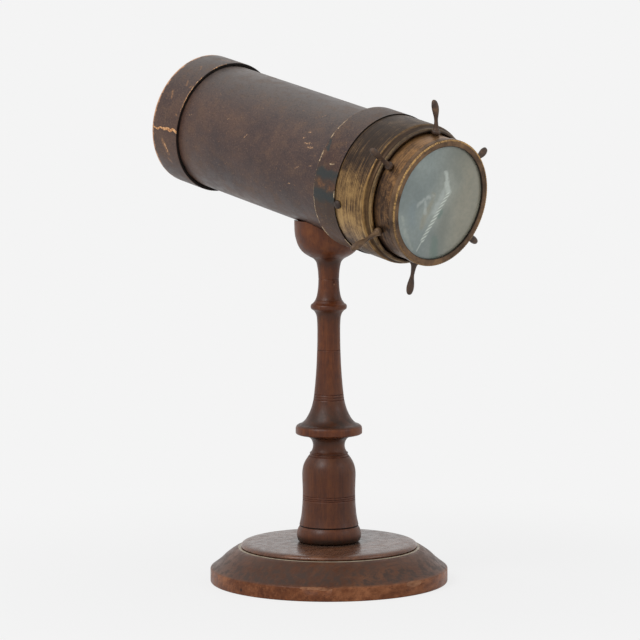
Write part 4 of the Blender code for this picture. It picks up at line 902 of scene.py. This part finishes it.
# %% [markdown]
# ## Spun brass, gone dark
#
# The sleeve and the object box are spun from sheet brass. Spinning leaves fine rings,
# and the lacquer has worn along them, so gold shows in streaks that run round the
# barrel. The streaks come from noise that is squeezed along the barrel and stretched
# round it. Four sizes of noise are added and one ramp turns the sum into metal: dark
# tarnish at the low end, through two browns, to clean gold at the top. A lift that
# depends on the angle pushes the sum up where hands rub and down where dust lies. The
# metal is not given as wholly metallic, because the brown film on it is no metal.

# %% Brass recipe
TARNISH = (0.86, 0.85, 0.80)
STRETCH = (0.020, 0.020, 1.0)


def by_angle(mix, stops):
    """A value that changes round the barrel, the same on both sides; stops in degrees."""
    share = mix.fit(mix.size(mix.angle), 0.0, math.pi, soft=False)
    return mix.ramp(share, *((at / 180, value) for at, value in stops))


def brass_finish(name, tones, lift, extra=None, streak=1.0):
    """Spun brass; the extra adds what belongs to one piece alone."""
    mix = Recipe(name).on_barrel()
    squeezed = mix.mapped(scale=STRETCH, vector=mix.point)
    rings = mix.noise(squeezed, 1150.0, 5.0, 0.75)
    fine = mix.noise(squeezed, 3400.0, 3.0, 0.7)
    clouds = mix.noise(mix.point, 70.0, 5.0, 0.68)
    tarnish = mix.noise(mix.point, 330.0, 4.0, 0.7)
    total = 0.5
    for value, weight in ((rings, 1.0 * streak), (fine, 0.9 * streak), (clouds, 0.70),
                          (tarnish, 0.30)):
        total = mix.plus(total, mix.times(mix.less(value, 0.5), weight))
    total = mix.plus(total, mix.less(by_angle(mix, lift), 0.5))
    mix.color = mix.ramp(total, *zip((0.30, 0.44, 0.56, 0.72), tones))
    if extra:
        extra(mix)
    mix.relief(mix.plus(mix.times(rings, streak), mix.times(fine, 0.6 * streak)), 0.05, 0.7)
    mix.color = mix.arrows("MULTIPLY", mix.color, TARNISH)
    return mix.finish(Metallic=0.76, Roughness=mix.fit(total, 0.3, 0.7, 0.52, 0.36))


def band(mix, value, low, high, soft, share):
    """A share between two values in millimetres, with soft sides."""
    return mix.times(mix.fit(value, (low - soft) * MM, low * MM, 0.0, share),
                     mix.fit(value, high * MM, (high + soft) * MM, 1.0, 0.0))


# %% [markdown]
# Each brass piece has something of its own. The sleeve has a gold arris, a groove
# painted dark brown as painted shade, and a dull top where dust lies. The drum has a warm
# speckle near its front, where fingers turn it, and the bezel has gold on its milled
# arris and a dark line round the glass.

# %% The brass of each piece
def sleeve_extra(mix):
    broken = mix.fit(mix.noise(mix.point, 420.0, 4.0, 0.7), 0.40, 0.60, 0.35, 1.0)
    mix.over(mix.times(band(mix, mix.station, 82.9, 83.5, 0.3, 0.8), broken), (158, 122, 74))
    # Painted shade: the groove is painted dark brown.
    mix.over(band(mix, mix.station, 84.0, 86.5, 0.4, 0.78), (66, 46, 28))
    mix.over(mix.times(band(mix, mix.station, 87.2, 88.6, 0.4, 0.6), broken), (140, 116, 82))
    mix.over(from_top(mix, 15, 70, 0.55, 0.0), (78, 68, 62))


def drum_extra(mix):
    speckle = mix.noise(mix.point, 240.0, 5.0, 0.75)
    front = mix.times(mix.fit(mix.station, 94 * MM, 103 * MM, 0.25, 0.9),
                      mix.fit(speckle, 0.48, 0.62))
    handled = by_angle(mix, [(0, 0.7), (60, 0.9), (100, 0.4), (140, 0.2)])
    mix.over(mix.times(front, handled), (172, 128, 84))


def rim_extra(mix):
    nicks = mix.fit(mix.noise(mix.point, 760.0, 3.0, 0.7), 0.43, 0.54, 0.25, 1.0)
    gold = mix.times(mix.fit(mix.radius, 40.3 * MM, 40.8 * MM),
                     mix.fit(mix.station, 106.3 * MM, 106.9 * MM))
    handled = by_angle(mix, [(0, 0.55), (25, 0.95), (90, 0.90), (115, 0.45), (140, 0.20)])
    mix.over(mix.times(mix.times(gold, nicks), handled), (206, 166, 108))
    mix.over(mix.fit(mix.radius, 37.2 * MM, 37.7 * MM, 0.85, 0.0), (34, 26, 21))


sleeve_brass = brass_finish(
    "sleeve_brass", ((46, 34, 27), (92, 70, 50), (134, 104, 68), (180, 146, 96)),
    [(0, 0.42), (45, 0.30), (68, 0.38), (85, 0.54), (112, 0.62), (128, 0.57), (146, 0.44),
     (180, 0.38)], sleeve_extra)
drum_brass = brass_finish(
    "drum_brass", ((38, 30, 27), (76, 56, 44), (116, 86, 58), (156, 116, 74)),
    [(0, 0.66), (45, 0.60), (75, 0.47), (130, 0.46), (180, 0.50)], drum_extra, 0.7)
rim_tones = ((52, 40, 32), (90, 70, 54), (116, 90, 68), (146, 114, 80))
rim_brass = brass_finish("rim_brass", rim_tones, [(0, 0.54), (90, 0.50), (180, 0.56)],
                         rim_extra, 0.3)
eye_brass = brass_finish("eye_brass", rim_tones, [(0, 0.52), (180, 0.48)], None, 0.3)

# %% [markdown]
# ## The sleeve
#
# The sleeve stays still while the box turns in it. Its front steps down into a broad
# groove and rises again in one rolled ridge, whose lip is turned in and keeps the box
# from falling out. Three tacks hold it to the pasteboard.

# %% Turn the sleeve
sleeve_outline = mm(
    (46.3, 60.0), (46.3, 50.2), (46.1, 50.0), (45.2, 50.0), (45.2, 82.5), (42.4, 82.5),
    (42.4, 88.9), (42.6, 89.0), (43.1, 88.95), (43.65, 88.75), (44.1, 88.4), (44.4, 87.95),
    (44.5, 87.5), (44.4, 87.1), (44.1, 86.8), (44.0, 86.4), (44.1, 85.6), (44.4, 84.8),
    (44.8, 84.2), (45.3, 83.85), (45.9, 83.55), (46.2, 83.15), (46.3, 82.6), (46.3, 70.0),
    (46.3, 60.0))
sleeve_piece = lathe("spun_sleeve", sleeve_outline, 288, BARREL, sharp=50)
dress(sleeve_piece, sleeve_brass, STAND, "aged_brass", "brass_sleeve")

# %% [markdown]
# Tacks and spokes are bronze gone dark. One spoke has been handled until it is paler
# than the others.


# %% Bronze, and the tacks
def bronze_finish(name, *tones):
    return simple_finish(name, (260.0, 4.0, 0.6), *zip((0.30, 0.55, 0.75), tones),
                         relief=(0.12, 0.7), gloss=(0.46, 0.62), Metallic=0.25)


dark_bronze = bronze_finish("dark_bronze", (46, 33, 25), (76, 56, 42), (112, 86, 64))
tack_bronze = bronze_finish("tack_bronze", (34, 22, 16), (50, 35, 26), (70, 50, 38))
worn_bronze = bronze_finish("worn_bronze", (62, 44, 30), (96, 72, 48), (130, 102, 72))

FIRST_TACK, TACK_STEP = 103.4, 105
tack_outline = mm((0.0, 1.8), (0.85, 1.74), (1.65, 1.5), (2.3, 1.08), (2.75, 0.52), (2.9, 0.05),
                  (2.7, -0.2), (0.8, -0.28), (0.8, -3.0), (0.0, -3.0))
for index in range(3):
    turn = math.radians(FIRST_TACK + TACK_STEP * index)
    place = (BARREL @ Matrix.Rotation(turn, 4, "Z") @ Matrix.Translation((0, 0, 60.3 * MM))
             @ Matrix.Rotation(-math.pi / 2, 4, "X") @ Matrix.Translation((0, 0, 46.6 * MM)))
    tack = lathe(f"tack_head_{index + 1}", tack_outline, 32, place)
    dress(tack, tack_bronze, STAND, "dark_bronze", f"sleeve_tack_{index + 1}")

# %% [markdown]
# ## The object box
#
# The drum is a short brass tube with a flange at its rear, trapped behind the sleeve's
# lip. A bezel closes its front, with a milled edge that gives the fingers a hold. The
# milling is an inset of every other face round the edge, pushed in a little.

# %% Turn the drum
drum_outline = mm((41.0, 92), (41.0, 81.8), (44.9, 81.8), (44.9, 80.2), (38.0, 80.2),
                  (38.0, 81.4), (39.6, 81.4), (39.6, 105.6), (40.5, 105.6), (40.5, 102.5),
                  (41.0, 102.5), (41.0, 101.5), (40.85, 101.3), (41.0, 101.1), (41.0, 92))
drum_piece = lathe("spun_drum", drum_outline, 256, WHEEL)
dress(drum_piece, drum_brass, BOX, "aged_brass", "drum_case")

# %% Turn the bezel and mill its edge
MILLING = 320
bezel_outline = mm(
    (41.7, 104.6), (41.7, 103.0), (41.5, 102.8), (40.8, 102.8), (40.8, 105.9), (37.4, 105.9),
    (37.05, 106.3), (37.05, 106.9), (37.3, 107.1), (38.6, 107.15), (39.8, 107.2), (40.5, 107.3),
    (40.9, 107.3), (41.35, 107.1), (41.65, 106.7), (41.7, 106.2), (41.7, 104.6))
bezel_piece = lathe("milled_bezel", bezel_outline, MILLING, WHEEL)
take_up(bezel_piece)
bpy.ops.object.mode_set(mode="EDIT")
bpy.ops.mesh.select_mode(type="FACE")
bpy.ops.mesh.select_all(action="DESELECT")
bpy.ops.object.mode_set(mode="OBJECT")
to_wheel = WHEEL.inverted()
for face in bezel_piece.data.polygons:
    spot = to_wheel @ face.center
    column = int((math.atan2(spot.y, spot.x) % math.tau) / math.tau * MILLING)
    face.select = (math.hypot(spot.x, spot.y) > 40.3 * MM and spot.z > 106.3 * MM
                   and column % 2 == 0)
bpy.ops.object.mode_set(mode="EDIT")
bpy.ops.mesh.inset(thickness=0.06 * MM, depth=-0.16 * MM)
bpy.ops.object.mode_set(mode="OBJECT")
bpy.ops.object.shade_smooth_by_angle(angle=math.radians(30))
dress(bezel_piece, rim_brass, BOX, "aged_brass", "front_bezel")

# %% [markdown]
# ## Spokes
#
# The spokes are little balusters: a ring at the foot, a thin neck, a swelling grip and
# a rounded tip. One is turned and six are copied from it, each with its own mesh. They
# have been knocked about for a century, so each copy is bent or shortened a little: the
# further a point is from the foot, the further it goes. The table gives the tip's way
# outwards, round the barrel and forwards.

# %% Turn one spoke and copy it round
SPOKE_REACH = 23.4
spoke_outline = flow(mm(
    (0.0, SPOKE_REACH), (0.9, 23.2), (1.65, 22.4), (2.1, 21.1), (2.38, 19.4), (2.4, 18.1),
    (2.25, 16.3), (1.9, 14.3), (1.5, 12.3), (1.28, 10.7), (1.25, 9.6), (1.35, 8.0),
    (1.55, 6.2), (1.8, 4.6), (2.1, 3.8)), 4)
spoke_outline += flow(mm((2.1, 3.5), (2.6, 3.0), (2.8, 2.2), (2.75, 1.3), (2.4, 0.6),
                         (2.1, 0.35)), 3)
spoke_outline += mm((1.1, 0.3), (1.1, -1.4), (0.0, -1.4))
plain_spoke = lathe("plain_spoke", spoke_outline, 40)
SPOKE_BENDS = [(-0.9, 3.3, -3.0), (-0.1, -0.2, 0.2), (1.7, -0.2, -1.4), (0.2, -0.1, 0.0),
               (-0.7, 0.3, -0.7), (-3.7, 0.7, -3.2)]

for index, (outwards, round_way, forwards) in enumerate(SPOKE_BENDS):
    take_up(plain_spoke)
    bpy.ops.object.duplicate()
    spoke = bpy.context.object
    spoke.name = spoke.data.name = f"spoke_{index + 1}_turned"
    for vertex in spoke.data.vertices:
        share = max(0.0, vertex.co.z / (SPOKE_REACH * MM))
        vertex.co += Vector((-round_way * share ** 1.5, -forwards * share ** 1.5,
                             outwards * share)) * MM
    settle(spoke, WHEEL @ Matrix.Rotation(math.tau * index / 6, 4, "Z")
           @ Matrix.Translation((0, 0, 92.5 * MM)) @ Matrix.Rotation(-math.pi / 2, 4, "X")
           @ Matrix.Translation((0, 0, 41.0 * MM)))
    dress(spoke, worn_bronze if index == 2 else dark_bronze, BOX, "dark_bronze",
          f"spoke_{index + 1}")
bpy.data.objects.remove(plain_spoke, do_unlink=True)

# %% [markdown]
# ## The glass face and what lies behind it
#
# The front glass has gone cloudy inside. The haze is grey green, bluer at the left and
# more olive at the right, with pale wiped smears, a crescent at the lower left and a
# darker drift below. It is thin enough to let the twisted rod behind it show, and a row
# of small white dashes is painted over the rod as the highlights on each turn of its
# twist. A haze lets a share of the light past and scatters the rest, which an alpha below
# one does, while the smooth front of the glass keeps its own gloss. Its map is flat
# already, so the strokes take millimetres to the right and up. Each row of the table
# below is one kind of smear: its strokes, how hard its middle is, how strong it is, and
# its tone.

# %% Haze and smears
haze = Recipe("cloudy_glass").on_barrel()
haze_across, haze_up, _ = haze.axes(haze.point)
haze_plane = haze.node("CombineXYZ", {"X": haze_across, "Y": haze_up})
haze_soft = shaken(haze, haze_plane, 3.2, 110.0)
haze_clouds = haze.noise(haze.point, 26.0, 4.0, 0.5)
haze_left = haze.ramp(haze_clouds, (0.34, (136, 147, 145)), (0.66, (161, 171, 166)))
haze_right = haze.ramp(haze_clouds, (0.34, (136, 136, 121)), (0.66, (160, 156, 139)))
haze.color = haze.blend(haze.fit(haze_across, -16 * MM, 26 * MM), haze_left, haze_right)
SMEARS = [
    ([((-8.0, -8.0), (8.0, 12.0), 15.0)], 0.0, 0.40, (184, 190, 180)),
    ([((-24.0, -2.0), (-22.0, -12.0), 7.0)], 0.0, 0.40, (138, 154, 160)),
    ([((-5.5, 6.0), (-8.5, -4.0), 2.6), ((-8.5, -4.0), (-13.2, -15.7), 3.2)], 0.1, 0.55,
     (160, 155, 134)),
    ([((-18.6, -1.5), (-14.0, 2.6), 2.2), ((-14.0, 2.6), (-6.0, 5.0), 1.8),
      ((-12.3, 1.0), (-10.3, -6.0), 2.2), ((3.0, 6.0), (-3.0, -6.0), 4.0)], 0.1, 0.60,
     (196, 204, 200)),
    ([((1.8, 20.1), (4.5, 13.0), 2.2), ((4.5, 13.0), (7.2, 7.0), 3.4)], 0.2, 0.80,
     (208, 216, 208)),
    ([((-31.6, -8.0), (-27.5, -19.5), 2.0), ((-27.5, -19.5), (-19.0, -29.0), 2.4)], 0.2, 0.40,
     (184, 190, 180)),
    ([((9.2, -9.0), (6.0, -19.0), 9.0), ((14.0, 16.0), (11.0, 20.0), 6.0)], 0.0, 0.45,
     (124, 128, 118)),
    ([((2.9, -6.2), (1.2, -9.0), 3.0), ((0.8, -25.5), (2.6, -34.3), 5.5)], 0.15, 0.70,
     (112, 134, 124))]
for smear, core, share, tone in SMEARS:
    haze.over(haze.times(strokes(haze, haze_soft, smear, core=core), share), tone)
haze_fine = haze.noise(haze.point, 420.0, 4.0, 0.65)
haze.over(haze.fit(haze_fine, 0.35, 0.65, 0.16, 0.0), (110, 118, 112))
# Painted shade: the haze darkens towards its rim, under the bezel.
haze.over(haze.fit(haze.radius, 36.4 * MM, 37.7 * MM, 0.0, 0.7), (78, 80, 72))

# %% [markdown]
# The painted highlights are one stroke along the rod, cut into dashes by a sine. Its
# waves run half across the stroke, so that the dashes slant as the twist does. The lower
# end of the stroke has no dashes and thins to a line.

# %% The rod's painted highlights in the haze
ROD_TAIL, ROD_FOOT, ROD_TOP = map(on_map, ((-14.0, -31.0), (-10.4, -24.5), (6.6, 5.4)))
DASH_PITCH, DASH_SLANT = 3.3 * MM, 1.5
rod_run = (ROD_TOP - ROD_FOOT).normalized()
rod_side = Vector((-rod_run.y, rod_run.x, 0))
rod_waves = (rod_run + rod_side * DASH_SLANT) * (math.tau / DASH_PITCH)
haze_near = shaken(haze, haze_plane, 0.3, 300.0)
rod_line = stroke(haze, haze_near, ROD_FOOT, ROD_TOP, 2.2)
rod_turns = haze.math("SINE", haze.arrows("DOT_PRODUCT", haze_near, rod_waves, "Value"))
rod_highlight_dashes = haze.times(rod_line, haze.fit(rod_turns, -0.9, 0.8, 0.3, 1.0))
rod_tail_highlight = haze.times(stroke(haze, haze_near, ROD_TAIL, ROD_FOOT, 0.8, 0.3), 0.55)
painted_rod_highlights = haze.most(rod_highlight_dashes, rod_tail_highlight)
# Painted highlights: white dashes along the rod, laid over the haze.
haze.over(haze.times(painted_rod_highlights, 0.78), (226, 234, 224))
haze_alpha = haze.less(haze.fit(haze_clouds, 0.35, 0.65, 0.82, 0.90),
                       haze.times(rod_line, haze.fit(painted_rod_highlights, 0.3, 0.8, 0.15, 0.0)))
cloudy_glass = haze.finish(Alpha=haze_alpha, Roughness=0.12, Specular_IOR_Level=0.5)

# %% Turn the glass
glass_outline = mm((0.0, 105.6), (39.3, 105.6), (39.3, 103.6), (0.0, 103.6))
glass_piece = lathe("cloudy_front_glass", ease(glass_outline, 0.2), 160, WHEEL)
dress(glass_piece, cloudy_glass, BOX, "ground_glass", "front_glass")

# %% [markdown]
# The rod is drawn glass with a twist in it. Its section is a circle squeezed to an oval,
# which is pushed along its length and twisted by a modifier. The ampoules are sealed
# tubes of coloured liquid and the beads are round; all of them tumble when the box turns.


# %% Glass of the loose pieces
def glass_finish(name, tone, clear):
    """Coloured glass with a paler swirl in it."""
    mix = Recipe(name)
    color = shade(*tone)
    swirl = mix.noise(mix.place, 160.0, 3.0, 0.5, 0.8)
    mix.color = mix.blend(mix.fit(swirl, 0.35, 0.65, 0.0, 0.5), color,
                          tuple(min(1.0, value * 1.5 + 0.03) for value in color))
    return mix.finish(Roughness=0.08, Transmission_Weight=clear, IOR=1.5)


white_glass = glass_finish("white_glass", (226, 232, 226), 0.1)
amber_glass = glass_finish("amber_glass", (206, 150, 62), 0.45)
blue_glass = glass_finish("blue_glass", (84, 122, 178), 0.45)
red_glass = glass_finish("red_glass", (176, 62, 52), 0.45)
paint_nodes(amber_glass, "ampoule_1", "bead_3")
paint_nodes(blue_glass, "ampoule_2")
paint_nodes(red_glass, "ampoule_3", "bead_1")
paint_nodes(white_glass, "bead_2")

# %% Draw the rod and twist it
ROD_RADIUS, ROD_LENGTH = 1.74 * MM, 54.3 * MM
ROD_STEPS, ROD_TWISTS = 180, 17
clear_bench()
bpy.ops.mesh.primitive_circle_add(vertices=24, radius=ROD_RADIUS, fill_type="NGON",
                                  location=(0, 0, 0))
rod = bpy.context.object
rod.name = rod.data.name = "twisted_rod"
for vertex in rod.data.vertices:
    turn = math.atan2(vertex.co.y, vertex.co.x)
    vertex.co *= 0.84 + 0.16 * math.cos(2 * turn)
bpy.ops.object.mode_set(mode="EDIT")
bpy.ops.mesh.select_all(action="SELECT")
bpy.ops.transform.translate(value=(0, 0, -ROD_LENGTH / 2))
for step in range(ROD_STEPS):
    bpy.ops.mesh.extrude_region_move(TRANSFORM_OT_translate={
        "value": (0, 0, ROD_LENGTH / ROD_STEPS)})
bpy.ops.mesh.select_all(action="SELECT")
bpy.ops.mesh.normals_make_consistent(inside=False)
bpy.ops.object.mode_set(mode="OBJECT")
twist = rod.modifiers.new("twist", "SIMPLE_DEFORM")
twist.deform_method = "TWIST"
twist.deform_axis = "Z"
twist.angle = math.tau * ROD_TWISTS
bpy.ops.object.modifier_apply(modifier=twist.name)
settle(rod, WHEEL @ Matrix.Rotation(math.radians(153), 4, "Z")
       @ Matrix.Translation((0, 35.96 * MM, 101.56 * MM))
       @ Matrix.Rotation(math.radians(4), 4, "Z")
       @ Matrix.Translation((0, ROD_RADIUS - ROD_LENGTH / 2, 0))
       @ Matrix.Rotation(math.pi / 2, 4, "X"))
dress(rod, white_glass, BOX, "white_glass", "twist_rod")

# %% [markdown]
# ## The eye end
#
# At the back, a turned brass ring holds the eye lens in the middle of the lid. It is
# dished towards the hole, as an eyepiece is.

# %% Eyepiece and lens
eye_outline = mm(
    (11.0, -122.0), (11.0, -129.0), (14.4, -129.0), (14.5, -129.3), (14.4, -129.9),
    (14.0, -130.35), (13.4, -130.5), (11.4, -130.4), (10.2, -130.0), (8.6, -129.0),
    (7.2, -128.1), (6.5, -127.7), (6.5, -127.4), (9.8, -127.4), (9.8, -120.5), (10.8, -120.5),
    (11.0, -120.7), (11.0, -122.0))
eye_piece = lathe("turned_eyepiece", ease(eye_outline, 0.25), 96, BARREL)
dress(eye_piece, eye_brass, STAND, "aged_brass", "eyepiece")

lens_glass = Recipe("eye_lens").finish(Base_Color=(0.93, 0.96, 0.95), Roughness=0.02,
                                       Transmission_Weight=1.0, IOR=1.5)
lens_rear = flow(mm((0.0, -124.9), (4.0, -125.0), (7.5, -125.35), (9.5, -125.7)), 4)
lens_front = flow(mm((9.5, -126.6), (7.5, -126.8), (4.0, -127.0), (0.0, -127.1)), 4)
lens_piece = lathe("ground_eye_lens", lens_rear + lens_front, 64, BARREL)
dress(lens_piece, lens_glass, STAND, "clear_glass", "eye_lens")

# %% [markdown]
# ## Inside
#
# The mirrors, the black board and the pasteboard rings are already the right shape.
# They keep their plain meshes and only get their finishes: silvered glass, dull black
# paper and raw board.

# %% Finishes of the inner pieces
pasteboard = simple_finish("pasteboard", (240.0, 4.0, 0.6), (0.3, (150, 126, 98)),
                           (0.7, (186, 162, 130)), relief=(0.1, 0.6), Roughness=0.85)
black_card = simple_finish("black_card", (600.0, 3.0), (0.3, (26, 24, 24)),
                           (0.7, (40, 38, 37)), relief=(0.05, 0.6), Roughness=0.9)
mirror_glass = simple_finish("mirror_glass", (220.0, 5.0, 0.7), (0.60, (228, 230, 232)),
                             (0.72, (140, 134, 128)), Metallic=1.0, Roughness=0.05)
plain_steel = simple_finish("steel", (700.0, 3.0), (0.3, (120, 116, 112)),
                            (0.7, (168, 164, 158)), Metallic=1.0, Roughness=0.35)
block_wood = simple_finish("deal", (300.0, 4.0), (0.3, (150, 112, 74)),
                           (0.7, (196, 160, 118)), stretch=(1, 0.08, 1), Roughness=0.75)

paint_nodes(pasteboard, "pasteboard_tube", "packing_ring", "cell_spacer")
paint_nodes(black_card, "shade_board", "mirror_disc_rear", "mirror_disc_front")
paint_nodes(mirror_glass, "mirror_left", "mirror_right")
paint_nodes(plain_steel, "saddle_screw_rear", "saddle_screw_front")
paint_nodes(block_wood, "saddle_block")
paint_nodes(eye_brass, "lens_ring")
paint_nodes(lens_glass, "rear_glass")

# %% [markdown]
# ## The studio
#
# The instrument was photographed on a white sweep in soft light from the upper left.
# The floor and the world are near white to the camera, and to the rays that gloss and
# clear glass send on, so the picture has no horizon. Both fall back to a plain level
# for the light they throw on the object. The floor keeps a small share of its real
# shading, which is the soft shadow.

# %% Backdrop helpers
BACKDROP = (0.905, 0.905, 0.905)


def seen_by(tree):
    """One for the camera's rays and for those that gloss and glass send on."""
    path = tree.nodes.new("ShaderNodeLightPath")
    share = path.outputs["Is Camera Ray"]
    for kind in ("Is Glossy Ray", "Is Transmission Ray"):
        larger = tree.nodes.new("ShaderNodeMath")
        larger.operation = "MAXIMUM"
        tree.links.new(share, larger.inputs[0])
        tree.links.new(path.outputs[kind], larger.inputs[1])
        share = larger.outputs[0]
    return share


def lay_over(tree, share, lit, shown, output):
    """Mixes what is shown over what is lit, by a share."""
    both = tree.nodes.new("ShaderNodeMixShader")
    for index, value in enumerate((share, lit, shown)):
        tree.links.new(value, both.inputs[index])
    tree.links.new(both.outputs[0], tree.nodes[output].inputs["Surface"])


# %% Floor
clear_bench()
bpy.ops.mesh.primitive_circle_add(vertices=96, radius=4.0, fill_type="NGON",
                                  location=(0, 0, -0.05 * MM))
floor = bpy.context.object
floor.name = "floor"
sweep = Recipe("floor_sweep")
shadow_share = sweep.fit(from_axis(sweep), 0.10, 0.40, 0.13, 0.0)
glow_share = sweep.times(seen_by(sweep.tree), sweep.less(1.0, shadow_share))
glow = sweep.node("Emission", {"Color": BACKDROP, "Strength": 1.0})
sweep.finish(Base_Color=(0.80, 0.80, 0.80), Roughness=0.9, Specular_IOR_Level=0.2)
lay_over(sweep.tree, glow_share, sweep.shader.outputs[0], glow, "Material Output")
floor.data.materials.append(sweep.material)

# %% World
world = bpy.data.worlds.new("studio")
bpy.context.scene.world = world
world.use_nodes = True
air = world.node_tree
air_light = air.nodes["Background"]
air_light.inputs["Color"].default_value = (1.0, 1.0, 1.0, 1.0)
air_light.inputs["Strength"].default_value = 0.54
air_seen = air.nodes.new("ShaderNodeBackground")
air_seen.inputs["Color"].default_value = (*BACKDROP, 1.0)
lay_over(air, seen_by(air), air_light.outputs[0], air_seen.outputs[0], "World Output")
print(world.name, "takes", len(air.nodes), "nodes")


# %% Lamps
def lamp(name, place, target, size, power):
    """A round softbox that looks at a target."""
    light = bpy.data.lights.new(name, "AREA")
    light.shape = "DISK"
    light.size = size
    light.energy = power
    made = bpy.data.objects.new(name, light)
    bpy.context.scene.collection.objects.link(made)
    made.location = place
    made.rotation_euler = (Vector(target) - Vector(place)).to_track_quat("-Z", "Y").to_euler()
    print(name, "shines at", power, "watts")


lamp("key_softbox", (-1.9, -0.1, 1.9), (0, 0, 0.2), 1.5, 34.0)
lamp("fill_softbox", (0.9, -2.2, 1.2), (0, 0, 0.2), 1.4, 8.0)

# %% [markdown]
# ## The camera
#
# The camera stands two metres off, a little above the object box, with a long lens. Its
# place and turn come from fitting the circles of the base, the tube and the drum to
# the picture, so its three axes are written out as a matrix.

# %% Camera
CAMERA_PLACE = (-1.4121, -1.5096, 0.3766)
look_right = Vector((0.73213, -0.68116, -0.00130)).normalized()
look_up = Vector((0.06707, 0.07019, 0.99528)).normalized()
look_back = look_right.cross(look_up).normalized()
look_up = look_back.cross(look_right)
turned = Matrix((look_right, look_up, look_back)).transposed().to_4x4()

eye = bpy.data.cameras.new("camera")
eye.sensor_width = 36.0
eye.lens = 175.85
camera = bpy.data.objects.new("camera", eye)
bpy.context.scene.collection.objects.link(camera)
camera.matrix_world = Matrix.Translation(CAMERA_PLACE) @ turned
bpy.context.scene.camera = camera
bpy.context.scene.view_settings.view_transform = "Standard"
print("camera stands", round(camera.matrix_world.translation.length, 2), "m away")
